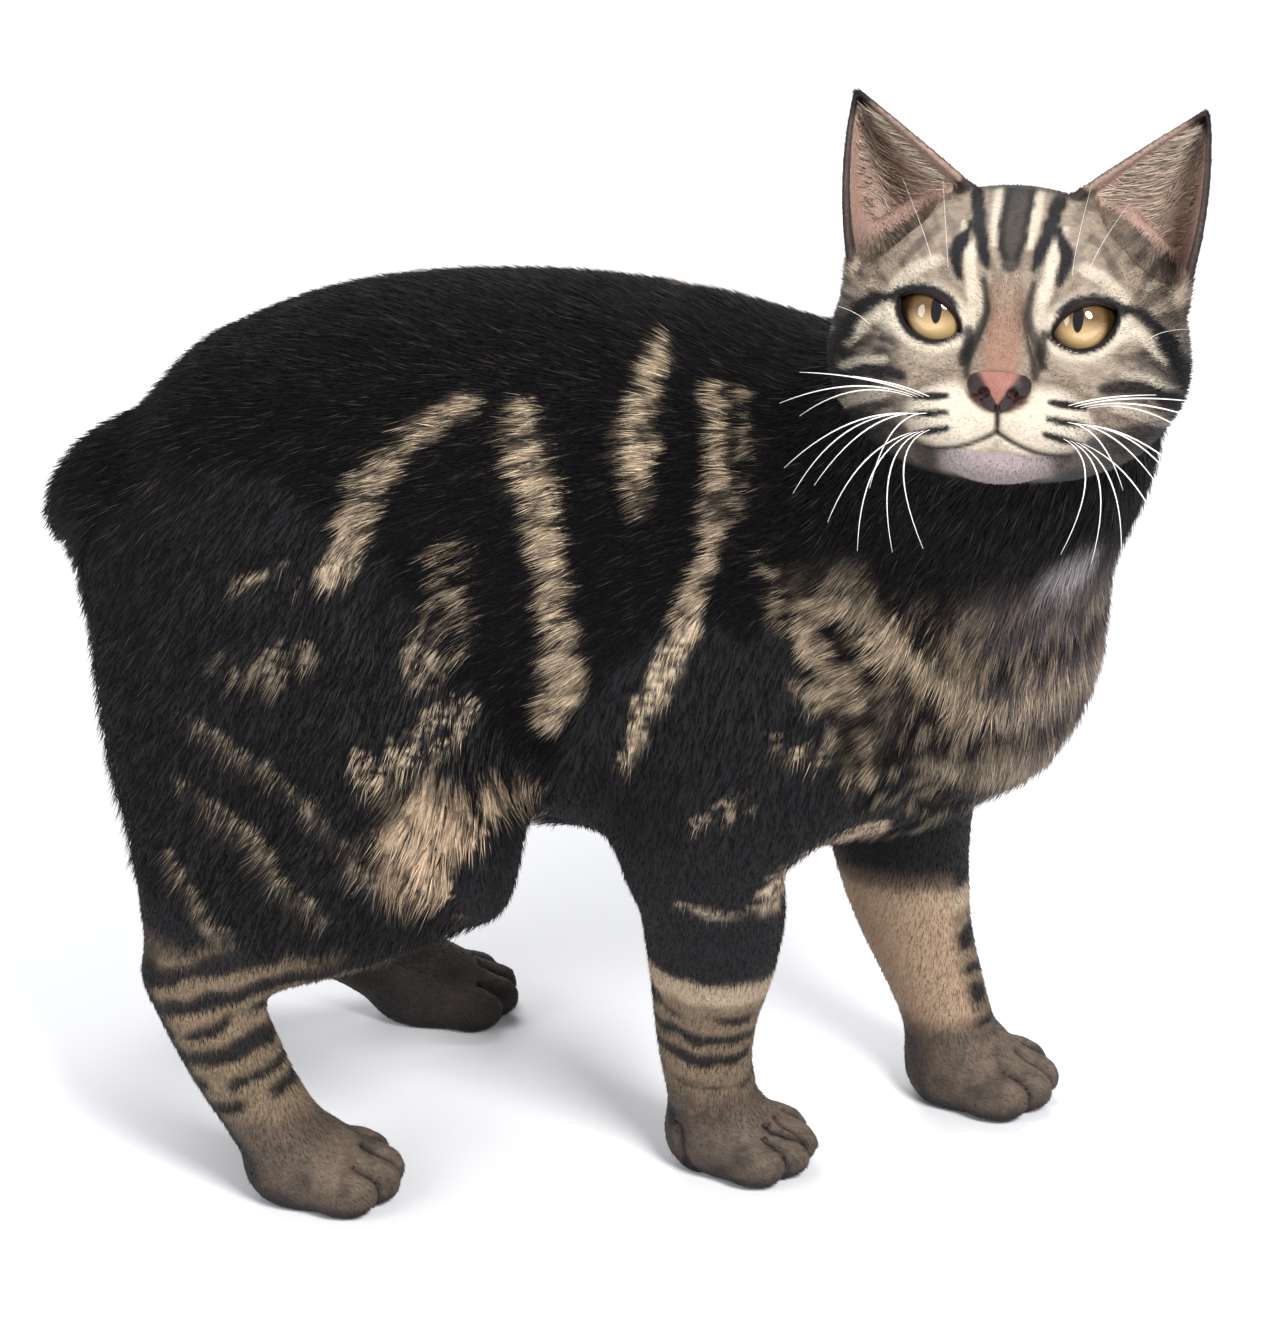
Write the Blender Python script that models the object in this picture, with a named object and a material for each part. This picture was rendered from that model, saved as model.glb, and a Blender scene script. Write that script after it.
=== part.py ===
"""A life-size standing cat with a stub tail, as a set of closed solids.

The body is one smooth field: swept ellipses and ellipsoids with named sizes, blended where
they meet. The field is meshed once for the body and once, finer, for the head. Thin cuts
then part it into the nodes that a person would name, with a gap of GAP between them.

Every size and place is in millimetres. X runs along the body towards the head, Y to the
cat's left and Z up. The meshes are turned into metres when they are made.
"""

import math

import bmesh
import bpy
import numpy as np
from mathutils import Matrix, Vector

METRES = 0.001
GAP = 0.3
FLOOR = 0.0

# Driving sizes
BACK_HEIGHT = 265.0
BELLY_HEIGHT = 103.0
HEAD_HALF_WIDTH = 48.0
EYE_SPACING = 37.6
EYEBALL_RADIUS = 10.5
LID_THICKNESS = 1.9
EAR_RISE = 56.5

# Headings in plan, in degrees from X towards the cat's left. The trunk bends to its right.
HIP_HEADING = 12.0
SHOULDER_HEADING = -16.0
FORWARD, LEFT_SIDE = 0, 1

# Trunk stations: x, y, top z, bottom z, half width
TRUNK = (
    (-129, -51, 206, 156, 26),
    (-115, -49, BACK_HEIGHT - 28, BELLY_HEIGHT + 24, 40),
    (-93, -44, BACK_HEIGHT - 13, BELLY_HEIGHT + 12, 51),
    (-62, -37, BACK_HEIGHT - 2, BELLY_HEIGHT + 4, 57),
    (-26, -30, BACK_HEIGHT + 2, BELLY_HEIGHT, 60),
    (10, -25, BACK_HEIGHT + 1, BELLY_HEIGHT - 3, 61),
    (44, -24, BACK_HEIGHT - 5, BELLY_HEIGHT - 4, 58),
    (76, -27, BACK_HEIGHT - 18, BELLY_HEIGHT + 1, 53),
    (102, -32, BACK_HEIGHT - 36, BELLY_HEIGHT + 13, 47),
    (119, -38, BACK_HEIGHT - 55, BELLY_HEIGHT + 32, 38),
)
TRUNK_CAP = 0.55
# Neck stations: x, y, z, half width, half depth
NECK = (
    (82, -28, 206, 50, 44),
    (106, -37, 228, 49, 45),
    (120, -51, 253, 45, 42),
    (124, -68, 280, 38, 34),
)
# Tail stub stations: x, y, z, half width, half depth
TAIL = (
    (-106, -47, 214, 20, 17),
    (-124, -50, 211, 18, 15),
    (-139, -52, 205, 14.5, 12),
    (-149, -54, 197, 11.5, 10),
    (-154, -55, 188, 8.5, 7.5),
)

# Foreleg: shoulder blade, arm, forearm. Each joint has a place for each side and one girth.
FORE_JOINTS = {
    "right": ((56, -54, 220), (82, -64, 178), (52, -67, 142), (38, -63, 118), (40, -58, 95),
              (38, -52, 74), (35, -47, 55), (34, -43, 38), (36, -40, 20)),
    "left": ((70, 6, 220), (106, 4, 174), (86, 13, 138), (74, 18, 112), (73, 20, 90),
             (76, 20, 69), (81, 21, 50), (86, 23, 34), (90, 24, 19)),
}
# Half width across and half depth along the leg's own direction of travel
FORE_GIRTH = ((15, 28), (21, 31), (21, 30), (19, 27), (18, 24), (16.5, 20.5), (14.5, 17), (13.5, 15), (13, 14))

# Hindleg: front of the thigh, back of the thigh, shank, then hock to toes
THIGH_FRONT_JOINTS = {
    "right": ((-78, -68, 196), (-58, -80, 156), (-30, -87, 120)),
    "left": ((-92, -14, 196), (-76, 6, 152), (-54, 22, 118)),
}
THIGH_FRONT_GIRTH = ((24, 38), (25, 34), (21, 27))
THIGH_BACK_JOINTS = {
    "right": ((-116, -62, 186), (-112, -72, 150), (-103, -88, 118), (-101, -103, 90)),
    "left": ((-124, -32, 186), (-124, -16, 148), (-124, 0, 108), (-128, 8, 66)),
}
THIGH_BACK_GIRTH = ((26, 31), (26, 27), (21, 22), (12, 15))
THIGH_MASS = {"right": ((-86, -79, 140), (38, 21, 50)), "left": ((-88, 6, 134), (38, 21, 50))}
SHANK_JOINTS = {
    "right": ((-26, -88, 116), (-60, -99, 100), (-90, -106, 84)),
    "left": ((-50, 24, 112), (-86, 18, 84), (-118, 10, 58)),
}
SHANK_GIRTH = ((20, 25), (17, 24), (13, 18))
FOOT_JOINTS = {
    "right": ((-100, -107, 78), (-92, -104, 56), (-85, -99, 36), (-76, -95, 19)),
    "left": ((-130, 6, 46), (-115, 11, 36), (-97, 17, 25), (-82, 22, 15)),
}
FOOT_GIRTH = ((12.5, 16), (13, 15.5), (14, 14), (15, 12.5))

# Paws: centre of the pad on the floor, heading, and the toes that fan out in front of it
PAWS = {
    "forepaw_right": ((38, -37), 2.0, 0.94),
    "forepaw_left": ((94, 24), 2.0, 0.96),
    "hindpaw_right": ((-71, -92), 12.0, 0.97),
    "hindpaw_left": ((-75, 24), 22.0, 0.94),
}
PAW_RADII = (19.5, 17.0, 14.5)
PAW_RISE = 10.0
TOE_RADII = (11.5, 5.9, 8.4)
TOE_REACH = (12.5, 18.5, 18.5, 12.5)
TOE_SPREAD = (-14.2, -4.9, 4.9, 14.2)
TOE_RISE = 7.6
TOE_BLEND = 1.8

# Head frame: the point between the eyeballs, and the way the face points
FACE_POINT = (134.0, -102.0, 301.0)
FACE_HEADING = -78.5
FACE_PITCH = 20.0
FACE_ROLL = -1.3

# The head's masses in its own frame: across, forward, up. Each but the middle ones has a twin.
# centre, radii, blend
HEAD_MASSES = (
    ((0, -26, 4.5), (40, 36, 30.5), 8),
    ((27, -24, 14), (17, 18, 16), 10),
    ((26, -16, -11), (HEAD_HALF_WIDTH - 26, 27, 24), 10),
    ((16, -3, -26), (21, 20, 14), 10),
    ((16, 0, 12), (14, 9.5, 10), 10),
    ((18, 2, -12), (13, 9, 8), 8),
    ((32, -8, 0), (10, 11, 12), 8),
    ((9, 6, -9), (10, 12, 13), 8),
    ((0, 13, -22), (15, 13, 11), 8),
    ((11.2, 17.5, -25.5), (14.2, 12.4, 9.2), 8),
    ((0, 0, -33), (25, 23, 10), 8),
    ((0, 15, -37), (12, 9, 6.2), 4),
)
# Bridge of the nose: across, forward, up, half width, half depth
BRIDGE = ((0, 1, 12, 14, 9), (0, 11.5, 2, 11, 8), (0, 19.5, -6, 9, 7), (0, 25.5, -13, 8, 5.5))
NOSE_MASSES = (((0, 27.6, -16.4), (7.8, 4.4, 4.8), 1.8), ((0, 28.5, -20), (4.6, 4.2, 3.2), 1.4),
               ((5.6, 27.0, -18.2), (3.6, 4.2, 3.4), 1.4))
NOSTRIL = ((3.9, 31.8, -19.0), (1.7, 3.2, 1.5))
# Grooves in the skin: across, up, depth, half width. How far forward each point lies is read off the skin.
NOSTRIL_SLIT = ((4.6, -19.8, 2.6, 0.8), (7.0, -19.8, 2.2, 0.7), (8.8, -18.4, 1.4, 0.6))
PHILTRUM = ((0, -21.8, 1.6, 0.7), (0, -25, 1.8, 0.6), (0, -28.8, 2.2, 0.7))
MOUTH_LINE = ((0, -28.8, 2.4, 0.8), (5, -31.8, 2.6, 0.8), (11, -33.9, 2.8, 0.8), (17, -33.6, 2.4, 0.7),
              (22, -31.6, 1.2, 0.5))
SOCKET = ((EYE_SPACING / 2 + 0.5, 15.6, 0.5), (13.5, 7.0, 11), 7)
EAR_CANAL = ((33, -18, 21), (10.5, 11, 13), 6)
# How far each ear leans out, as the ears swivel on their own
EAR_SWAY = {"right": -1.6, "left": 0.8}

# Lids: the almond between them, in the eye's own plane
EYE_TURN_OUT = 8.0
LID_TILT = 25.0
LID_HALF_LENGTH = 9.3
UPPER_LID_RISE = 5.8
LOWER_LID_DROP = 6.6

# Ear: the edges and the back of the cup, each as a three-point curve up to the tip
EAR_TIP = (46.5, -21.0, EAR_RISE)
EAR_INNER_EDGE = ((13.0, -15, 31), (26, -14, 42))
EAR_OUTER_EDGE = ((43.0, -10, 6), (50.0, -14, 32))
EAR_BACK = ((34, -41, 14), (43, -39, 43))
EAR_HALF_THICKNESS = (1.9, 1.0)
BRIDGE_BLEND = 7.0
EAR_BLEND = 4.0
LID_BLEND = 3.0
GROOVE_BLEND = 0.8
NECK_BLEND = 12.0
EAR_SAMPLE_REACH = 0.9
EAR_TIP_BLUNT = 0.965

# Cuts. A plane has a point and the way to its upper or front side.
HEAD_CUT = ((0, -36, -16), (0, 0.64, 0.77))
NECK_CUT = ((100, -38, 212), (0.8, -0.35, 0.49))
WRIST_HEIGHT = 23.0
HOCK_CUT = {"right": (-88, -104, 97), "left": (-112, 8, 70)}
HOCK_CUT_NORMAL = (-0.3, 0.0, -0.954)
# Side outlines of the leg cuts: along the heading, up. The lowest points lie under the floor.
HIP_POINT = (-88, -43)
SHOULDER_POINT = (58, -24)
BELOW_FLOOR = -12.0
HIP_OUTLINE = ((-84, BELOW_FLOOR), (-84, 150), (-66, 196), (-34, 222), (4, 224), (38, 200), (64, 160), (86, 122),
               (92, BELOW_FLOOR))
SHOULDER_OUTLINE = ((-60, BELOW_FLOOR), (-50, 120), (-32, 160), (-8, 192), (22, 200), (40, 180), (50, 140),
                    (72, 60), (72, BELOW_FLOOR))
# How far from the midline a leg cut starts, at its top and at the floor
HIP_CUT_INNER = {"right": (24, 18), "left": (24, 18)}
SHOULDER_CUT_INNER = {"right": (27, -12), "left": (27, 24)}
CUT_TOP = 200.0
CUT_OUTER = 150.0
TAIL_CUT = ((-141, -53, 203), (-0.86, -0.14, 0.12))
TAIL_CUT_REACH = (22.0, 30.0)
EAR_CUT_FOOT = (31.0, -23.0, 23.5)
EAR_CUT_REACH = (27.0, 27.0, 60.0)

# Fineness of the meshes
BODY_STEP = 3.2
HEAD_STEP = 0.95
BODY_FACES = 5600
HEAD_FACES = 6400
BEYOND_CUT = 7.0
# Where the head keeps more triangles: round each eye and the nose
FINE_REACH = (15.0, 15.0, 10.0)
FINE_SHARE = 0.9
FINE_WEIGHT = 0.0005
NET_OFFSETS = (0, 0.03, -0.03, 0.06, -0.06, 0.09, -0.09, 0.12, -0.12)

COATS = {
    "black_coat": (0.020, 0.017, 0.018),
    "brown_coat": (0.16, 0.105, 0.062),
    "pale_coat": (0.42, 0.30, 0.20),
    "amber_eye": (0.62, 0.42, 0.13),
}
FAR = 60.0


def turn(heading, pitch=0.0, roll=0.0):
    """Rotation whose columns are a part's own across, forward and up."""
    about = Matrix.Rotation(math.radians(heading - 90), 3, "Z")
    about = about @ Matrix.Rotation(math.radians(pitch), 3, "X")
    return np.array(about @ Matrix.Rotation(math.radians(roll), 3, "Y"))


HEAD_TURN = turn(FACE_HEADING, FACE_PITCH, FACE_ROLL)
# In the head's frame, across points to the cat's right, so the left side is negative.
SIDES = {"right": 1, "left": -1}


def head_to_world(points):
    return np.asarray(points, float) @ HEAD_TURN.T + np.array(FACE_POINT)


def blend(a, b, width):
    """The union of two fields, rounded over the given width."""
    h = np.clip(0.5 + 0.5 * (b - a) / width, 0, 1)
    return b + (a - b) * h - width * h * (1 - h)


def carve(a, b, width=0.0):
    """Field a with b cut out of it."""
    return -blend(-a, b, width) if width else np.maximum(a, -b)


def radial(offsets, radii):
    """Signed distance, near enough, from an ellipsoid with these radii."""
    scaled = offsets / radii
    near = np.sqrt((scaled ** 2).sum(1)) + 1e-9
    slope = np.sqrt(((scaled / radii) ** 2).sum(1)) + 1e-9
    return near * (near - 1) / slope


def ellipsoid(points, centre, radii, axes=None):
    offsets = points - np.array(centre, float)
    if axes is not None:
        offsets = offsets @ axes
    return radial(offsets, np.array(radii, float))


def smooth_rows(rows, per_span=10):
    """Rows read from a Catmull-Rom curve through the given rows."""
    rows = np.array(rows, float)
    ends = np.vstack([2 * rows[0] - rows[1], rows, 2 * rows[-1] - rows[-2]])
    t = np.linspace(0, 1, per_span, endpoint=False)[:, None]
    made = []
    for p0, p1, p2, p3 in zip(ends, ends[1:], ends[2:], ends[3:]):
        made.append(0.5 * (2 * p1 + (p2 - p0) * t + (2 * p0 - 5 * p1 + 4 * p2 - p3) * t ** 2
                           + (3 * p1 - p0 - 3 * p2 + p3) * t ** 3))
    return np.vstack([*made, rows[-1:]])


def sweep(points, rows, across, cap=0.8):
    """Field of an ellipse swept through rows of x, y, z, half width, half depth above and, if
    it differs, half depth below. across is the way the half width runs."""
    rows = smooth_rows(rows)
    centres, girths = rows[:, :3], rows[:, 3:]
    along = np.gradient(centres, axis=0)
    spacing = np.linalg.norm(along, axis=1, keepdims=True)
    along = along / spacing
    side = np.array(across, float) - (along @ np.array(across, float))[:, None] * along
    side /= np.linalg.norm(side, axis=1, keepdims=True)
    rise = np.cross(along, side)
    field = np.full(len(points), FAR)
    reach = FAR + girths.max()
    close = ((points > centres.min(0) - reach) & (points < centres.max(0) + reach)).all(1)
    for chunk in np.array_split(np.flatnonzero(close), max(1, close.sum() // 20000)):
        at = points[chunk]
        span = (at ** 2).sum(1)[:, None] - 2 * at @ centres.T + (centres ** 2).sum(1)
        nearest = span.argmin(1)
        offset = at - centres[nearest]
        travel = (offset * along[nearest]).sum(1)
        place = np.clip(nearest + travel / spacing[nearest, 0], 0, len(rows) - 1)
        low = np.minimum(place.astype(int), len(rows) - 2)
        part = (place - low)[:, None]
        girth = girths[low] * (1 - part) + girths[low + 1] * part
        sideways = (offset * side[nearest]).sum(1)
        up = (offset * rise[nearest]).sum(1)
        inside = (place > 0) & (place < len(rows) - 1)
        beyond = np.where(inside, 0.0, travel)
        depth = girth[:, 1] if girths.shape[1] == 2 else np.where(up > 0, girth[:, 1], girth[:, 2])
        radii = np.stack([girth[:, 0], depth, cap * np.minimum(girth[:, 0], depth)], 1)
        field[chunk] = radial(np.stack([sideways, up, beyond], 1), radii)
    return field


def heading_vector(heading, which):
    a = math.radians(heading)
    return (math.cos(a), math.sin(a), 0) if which == FORWARD else (-math.sin(a), math.cos(a), 0)


def trunk_rows():
    rows = []
    for x, y, top, bottom, half_width in TRUNK:
        middle = bottom + 0.52 * (top - bottom)
        rows.append((x, y, middle, half_width, top - middle, middle - bottom))
    return rows


def jointed(points, joints, girths, across):
    rows = [(*place, *girth) for place, girth in zip(joints, girths)]
    return sweep(points, rows, across)


def hind_leg(points, side):
    across = heading_vector(HIP_HEADING, LEFT_SIDE)
    leg = jointed(points, THIGH_FRONT_JOINTS[side], THIGH_FRONT_GIRTH, across)
    leg = blend(leg, jointed(points, THIGH_BACK_JOINTS[side], THIGH_BACK_GIRTH, across), 20)
    hip_turn = turn(HIP_HEADING)[:, [1, 0, 2]]
    leg = blend(leg, ellipsoid(points, *THIGH_MASS[side], hip_turn), 20)
    leg = blend(leg, jointed(points, SHANK_JOINTS[side], SHANK_GIRTH, across), 12)
    return blend(leg, jointed(points, FOOT_JOINTS[side], FOOT_GIRTH, across), 9)


def fore_leg(points, side):
    across = heading_vector(SHOULDER_HEADING, LEFT_SIDE)
    return jointed(points, FORE_JOINTS[side], FORE_GIRTH, across)


def paw(points, name):
    (x, y), heading, size = PAWS[name]
    axes = turn(heading)
    axes = axes[:, [1, 0, 2]]
    field = ellipsoid(points, (x, y, PAW_RISE * size), np.array(PAW_RADII) * size, axes)
    for reach, spread in zip(TOE_REACH, TOE_SPREAD):
        centre = np.array((x, y, TOE_RISE * size)) + axes @ np.array((reach, spread, 0)) * size
        field = blend(field, ellipsoid(points, centre, np.array(TOE_RADII) * size, axes), TOE_BLEND)
    return field


def ear_sheet(across=44, up=44):
    """Points over one ear's middle surface, its normals, and how far up the ear each lies."""
    tip = np.array(EAR_TIP)
    t = np.linspace(0, EAR_TIP_BLUNT, up)[:, None, None]
    s = np.linspace(0, 1, across)[None, :, None]

    def edge(start, middle):
        return (1 - t) ** 2 * np.array(start) + 2 * t * (1 - t) * np.array(middle) + t ** 2 * tip

    inner, outer, back = edge(*EAR_INNER_EDGE), edge(*EAR_OUTER_EDGE), edge(*EAR_BACK)
    control = 2 * back - (inner + outer) / 2
    sheet = (1 - s) ** 2 * inner + 2 * s * (1 - s) * control + s ** 2 * outer
    normals = np.cross(np.gradient(sheet, axis=0), np.gradient(sheet, axis=1))
    normals[-1] = normals[-2]
    normals /= np.linalg.norm(normals, axis=2, keepdims=True)
    return sheet.reshape(-1, 3), normals.reshape(-1, 3), np.broadcast_to(t, (up, across, 1)).reshape(-1)


def ear(local):
    """Field of both ears in the head's frame."""
    sheet, normals, height = ear_sheet()
    field = np.full(len(local), FAR)
    low, high = sheet.min(0) - 8, sheet.max(0) + 8
    for name, side in SIDES.items():
        at = local * (side, 1, 1) - (EAR_SWAY[name], 0, 0)
        close = np.flatnonzero(((at > low) & (at < high)).all(1))
        for chunk in np.array_split(close, max(1, len(close) // 6000)):
            here = at[chunk]
            span = (here ** 2).sum(1)[:, None] - 2 * here @ sheet.T + (sheet ** 2).sum(1)
            nearest = span.argmin(1)
            offset = here - sheet[nearest]
            off_sheet = (offset * normals[nearest]).sum(1)
            past_edge = np.sqrt(np.maximum((offset ** 2).sum(1) - off_sheet ** 2, 0)) - EAR_SAMPLE_REACH
            thick = np.interp(height[nearest], (0, 1), EAR_HALF_THICKNESS)
            field[chunk] = np.minimum(field[chunk], np.hypot(off_sheet, np.maximum(past_edge, 0)) - thick)
    return field


def eye_plane(local, side):
    """Across and up in the plane of one eye's lids, and forward from its centre."""
    centre = np.array((side * EYE_SPACING / 2, 0, 0))
    out = math.radians(EYE_TURN_OUT) * side
    tilt = math.radians(LID_TILT)
    forward = np.array((math.sin(out), math.cos(out), 0))
    level = np.array((math.cos(out), -math.sin(out), 0)) * side
    up = np.array((0, 0, 1.0))
    outward = level * math.cos(tilt) + up * math.sin(tilt)
    rise = up * math.cos(tilt) - level * math.sin(tilt)
    offset = local - centre
    return offset @ outward, offset @ rise, offset @ forward


def almond(local, side):
    """Field of the opening between the lids, a prism from the eye's centre forward."""
    sideways, up, ahead = eye_plane(local, side)
    length = LID_HALF_LENGTH ** 2
    high = (length + UPPER_LID_RISE ** 2) / (2 * UPPER_LID_RISE)
    low = (length + LOWER_LID_DROP ** 2) / (2 * LOWER_LID_DROP)
    top = np.hypot(sideways, up - (UPPER_LID_RISE - high)) - high
    bottom = np.hypot(sideways, up - (low - LOWER_LID_DROP)) - low
    return np.maximum(np.maximum(top, bottom), 2.0 - ahead)


def skull(folded):
    """Field of the head's masses, nose and eye hollows, for points folded over to the right side."""
    centre, radii, _ = HEAD_MASSES[0]
    field = ellipsoid(folded, centre, radii)
    for centre, radii, width in HEAD_MASSES[1:]:
        field = blend(field, ellipsoid(folded, centre, radii), width)
    field = blend(field, sweep(folded, BRIDGE, (1, 0, 0)), BRIDGE_BLEND)
    for centre, radii, width in NOSE_MASSES:
        field = blend(field, ellipsoid(folded, centre, radii), width)
    field = carve(field, ellipsoid(folded, *EAR_CANAL[:2]), EAR_CANAL[2])
    return carve(field, ellipsoid(folded, *SOCKET[:2]), SOCKET[2])


def groove_rows(groove):
    """Sweep rows for a groove, each set where the skin is at that place on the face."""
    ahead = np.arange(45.0, 0.0, -0.1)
    rows = []
    for across, up, depth, half_width in groove:
        line = np.stack([np.full(len(ahead), across), ahead, np.full(len(ahead), up)], 1)
        skin = ahead[np.argmax(skull(line) < 0)]
        rows.append((across, skin, up, depth, half_width))
    return rows


def head(points, grooves):
    """Field of the head with its ears, lids, nostrils and mouth line."""
    local = (points - np.array(FACE_POINT)) @ HEAD_TURN
    folded = np.abs(local) * (1, 0, 0) + local * (0, 1, 1)
    field = blend(skull(folded), ear(local), EAR_BLEND)
    lids = (EYEBALL_RADIUS + LID_THICKNESS,) * 3
    field = blend(field, ellipsoid(folded, (EYE_SPACING / 2, 0, 0), lids), LID_BLEND)
    for side in SIDES.values():
        field = carve(field, almond(local, side))
    field = carve(field, ellipsoid(folded, *NOSTRIL), 0.8)
    for rows in grooves:
        field = carve(field, sweep(folded, rows, (0, 1, 0)), GROOVE_BLEND)
    return field


GROOVES = [groove_rows(groove) for groove in (NOSTRIL_SLIT, PHILTRUM, MOUTH_LINE)]


def whole(points):
    """Field of the whole cat, head and all."""
    field = sweep(points, trunk_rows(), heading_vector(0, LEFT_SIDE), TRUNK_CAP)
    field = blend(field, sweep(points, NECK, heading_vector(SHOULDER_HEADING - 20, LEFT_SIDE)), 26)
    field = blend(field, sweep(points, TAIL, heading_vector(HIP_HEADING, LEFT_SIDE)), 12)
    for side in SIDES:
        leg = fore_leg(points, side)
        leg = blend(leg, paw(points, "forepaw_" + side), 6)
        field = blend(field, leg, 12)
    for side in SIDES:
        leg = hind_leg(points, side)
        leg = blend(leg, paw(points, "hindpaw_" + side), 6)
        field = blend(field, leg, 14)
    return blend(field, head(points, GROOVES), NECK_BLEND)


def plane_side(points, cut):
    place, normal = (np.array(v, float) for v in cut)
    return (points - place) @ (normal / np.linalg.norm(normal))


def head_cut_in_world():
    place, normal = HEAD_CUT
    return head_to_world([place])[0], HEAD_TURN @ np.array(normal)


def body_field(points):
    """The whole cat below the head's cut, and a little past it."""
    return np.maximum(whole(points), plane_side(points, head_cut_in_world()) - BEYOND_CUT)


def head_field(points):
    return np.maximum(whole(points), -plane_side(points, head_cut_in_world()) - BEYOND_CUT)


def sampled(field, low, high, step, coarse=4):
    """The field on a grid. Far from the surface it is read from a grid that is coarse times wider."""
    counts = np.ceil((np.array(high) - low) / (step * coarse)).astype(int) + 1

    def grid(numbers, spacing):
        axes = [low[i] + np.arange(numbers[i]) * spacing for i in range(3)]
        return np.stack(np.meshgrid(*axes, indexing="ij"), -1).reshape(-1, 3)

    wide = field(grid(counts, step * coarse)).reshape(counts)
    fine_counts = counts * coarse
    values = wide.repeat(coarse, 0).repeat(coarse, 1).repeat(coarse, 2)
    near = np.abs(wide) < step * coarse * 1.9
    grown = near.copy()
    for axis in range(3):
        grown |= np.roll(near, 1, axis)
    near = grown.repeat(coarse, 0).repeat(coarse, 1).repeat(coarse, 2)
    index = np.argwhere(near)
    values[near] = field(np.array(low) + index * step)
    return values.reshape(fine_counts)


CUBE = np.array([(i, j, k) for i in (0, 1) for j in (0, 1) for k in (0, 1)])
CUBE_EDGES = [(a, b) for a in range(8) for b in range(a + 1, 8) if np.abs(CUBE[a] - CUBE[b]).sum() == 1]


def sheet_table():
    """For each pattern of corners inside: which sheet of the surface crosses each of a cell's
    edges, and how many sheets there are. One vertex for each sheet keeps the net closed."""
    sheets = np.full((256, 12), -1)
    counts = np.zeros(256, int)
    sides = [set(np.flatnonzero(CUBE[:, axis] == end)) for axis in range(3) for end in (0, 1)]
    for case in range(256):
        inside = [case >> corner & 1 for corner in range(8)]
        crossed = [e for e, (a, b) in enumerate(CUBE_EDGES) if inside[a] != inside[b]]
        links = {e: set() for e in crossed}
        for side in sides:
            on_side = [e for e in crossed if side.issuperset(CUBE_EDGES[e])]
            groups = [on_side]
            if len(on_side) == 4:
                groups = [[e for e in on_side if corner in CUBE_EDGES[e]] for corner in side if inside[corner]]
            for group in groups:
                for e in group:
                    links[e].update(group)
        for start in crossed:
            if sheets[case, start] < 0:
                queue = [start]
                while queue:
                    e = queue.pop()
                    sheets[case, e] = counts[case]
                    queue += [other for other in links[e] if sheets[case, other] < 0]
                counts[case] += 1
    return sheets, counts


def surface_net(values, low, step):
    """Points and four-sided faces of the surface where the sampled field is zero."""
    sheets, counts = sheet_table()
    inside = values < 0
    case = np.zeros(np.array(values.shape) - 1, int)
    nx, ny, nz = case.shape
    for number, (i, j, k) in enumerate(CUBE):
        case += inside[i:i + nx, j:j + ny, k:k + nz].astype(int) << number
    active = np.argwhere((case > 0) & (case < 255))
    kind = case[tuple(active.T)]
    corner = np.stack([values[tuple((active + c).T)] for c in CUBE], 1)
    first = np.cumsum(counts[kind]) - counts[kind]
    total = np.zeros((counts[kind].sum(), 3))
    crossings = np.zeros(len(total))
    for edge, (a, b) in enumerate(CUBE_EDGES):
        crossed = np.flatnonzero(sheets[kind, edge] >= 0)
        part = corner[crossed, a] / (corner[crossed, a] - corner[crossed, b])
        place = active[crossed] + CUBE[a] + part[:, None] * (CUBE[b] - CUBE[a])
        vertex = first[crossed] + sheets[kind[crossed], edge]
        np.add.at(total, vertex, place)
        np.add.at(crossings, vertex, 1)
    points = np.array(low) + total / crossings[:, None] * step
    start = np.full(case.shape, -1)
    start[tuple(active.T)] = first
    faces = []
    for axis in range(3):
        here = np.take(inside, range(values.shape[axis] - 1), axis)
        there = np.take(inside, range(1, values.shape[axis]), axis)
        b, c = (axis + 1) % 3, (axis + 2) % 3
        for begins, flipped in ((here & ~there, False), (there & ~here, True)):
            edge = np.argwhere(begins)
            edge = edge[(edge[:, b] > 0) & (edge[:, c] > 0)]
            loop = []
            for back_b, back_c in ((1, 1), (0, 1), (0, 0), (1, 0)):
                cell = edge.copy()
                cell[:, b] -= back_b
                cell[:, c] -= back_c
                near, far = np.zeros(3, int), np.zeros(3, int)
                near[[b, c]] = back_b, back_c
                far[:] = near
                far[axis] = 1
                ends = sorted(int(np.flatnonzero((CUBE == end).all(1))[0]) for end in (near, far))
                at = tuple(cell.T)
                loop.append(start[at] + sheets[case[at], CUBE_EDGES.index(tuple(ends))])
            quads = np.stack(loop, 1)
            faces.append(quads[:, ::-1] if flipped else quads)
    return points, np.vstack(faces)


def closed_net(field, low, high, step):
    """The surface net of a field, moved by a hair where its sheets would share an edge."""
    values = sampled(field, low, high, step)
    for offset in NET_OFFSETS:
        points, faces = surface_net(values + offset, low, step)
        edges = np.sort(np.vstack([faces[:, [i, (i + 1) % 4]] for i in range(4)]), axis=1)
        if np.unique(edges, axis=0, return_counts=True)[1].max() == 2:
            return points, faces
    raise RuntimeError("no closed net at any offset")


def new_object(name, points, faces):
    mesh = bpy.data.meshes.new(name)
    mesh.from_pydata((np.asarray(points) * METRES).tolist(), [], [list(face) for face in faces])
    made = bpy.data.objects.new(name, mesh)
    bpy.context.scene.collection.objects.link(made)
    return made


def apply_modifiers(made):
    """Bakes the object's modifiers into its mesh."""
    graph = bpy.context.evaluated_depsgraph_get()
    mesh = bpy.data.meshes.new_from_object(made.evaluated_get(graph))
    made.modifiers.clear()
    old, made.data = made.data, mesh
    bpy.data.meshes.remove(old)


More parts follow.
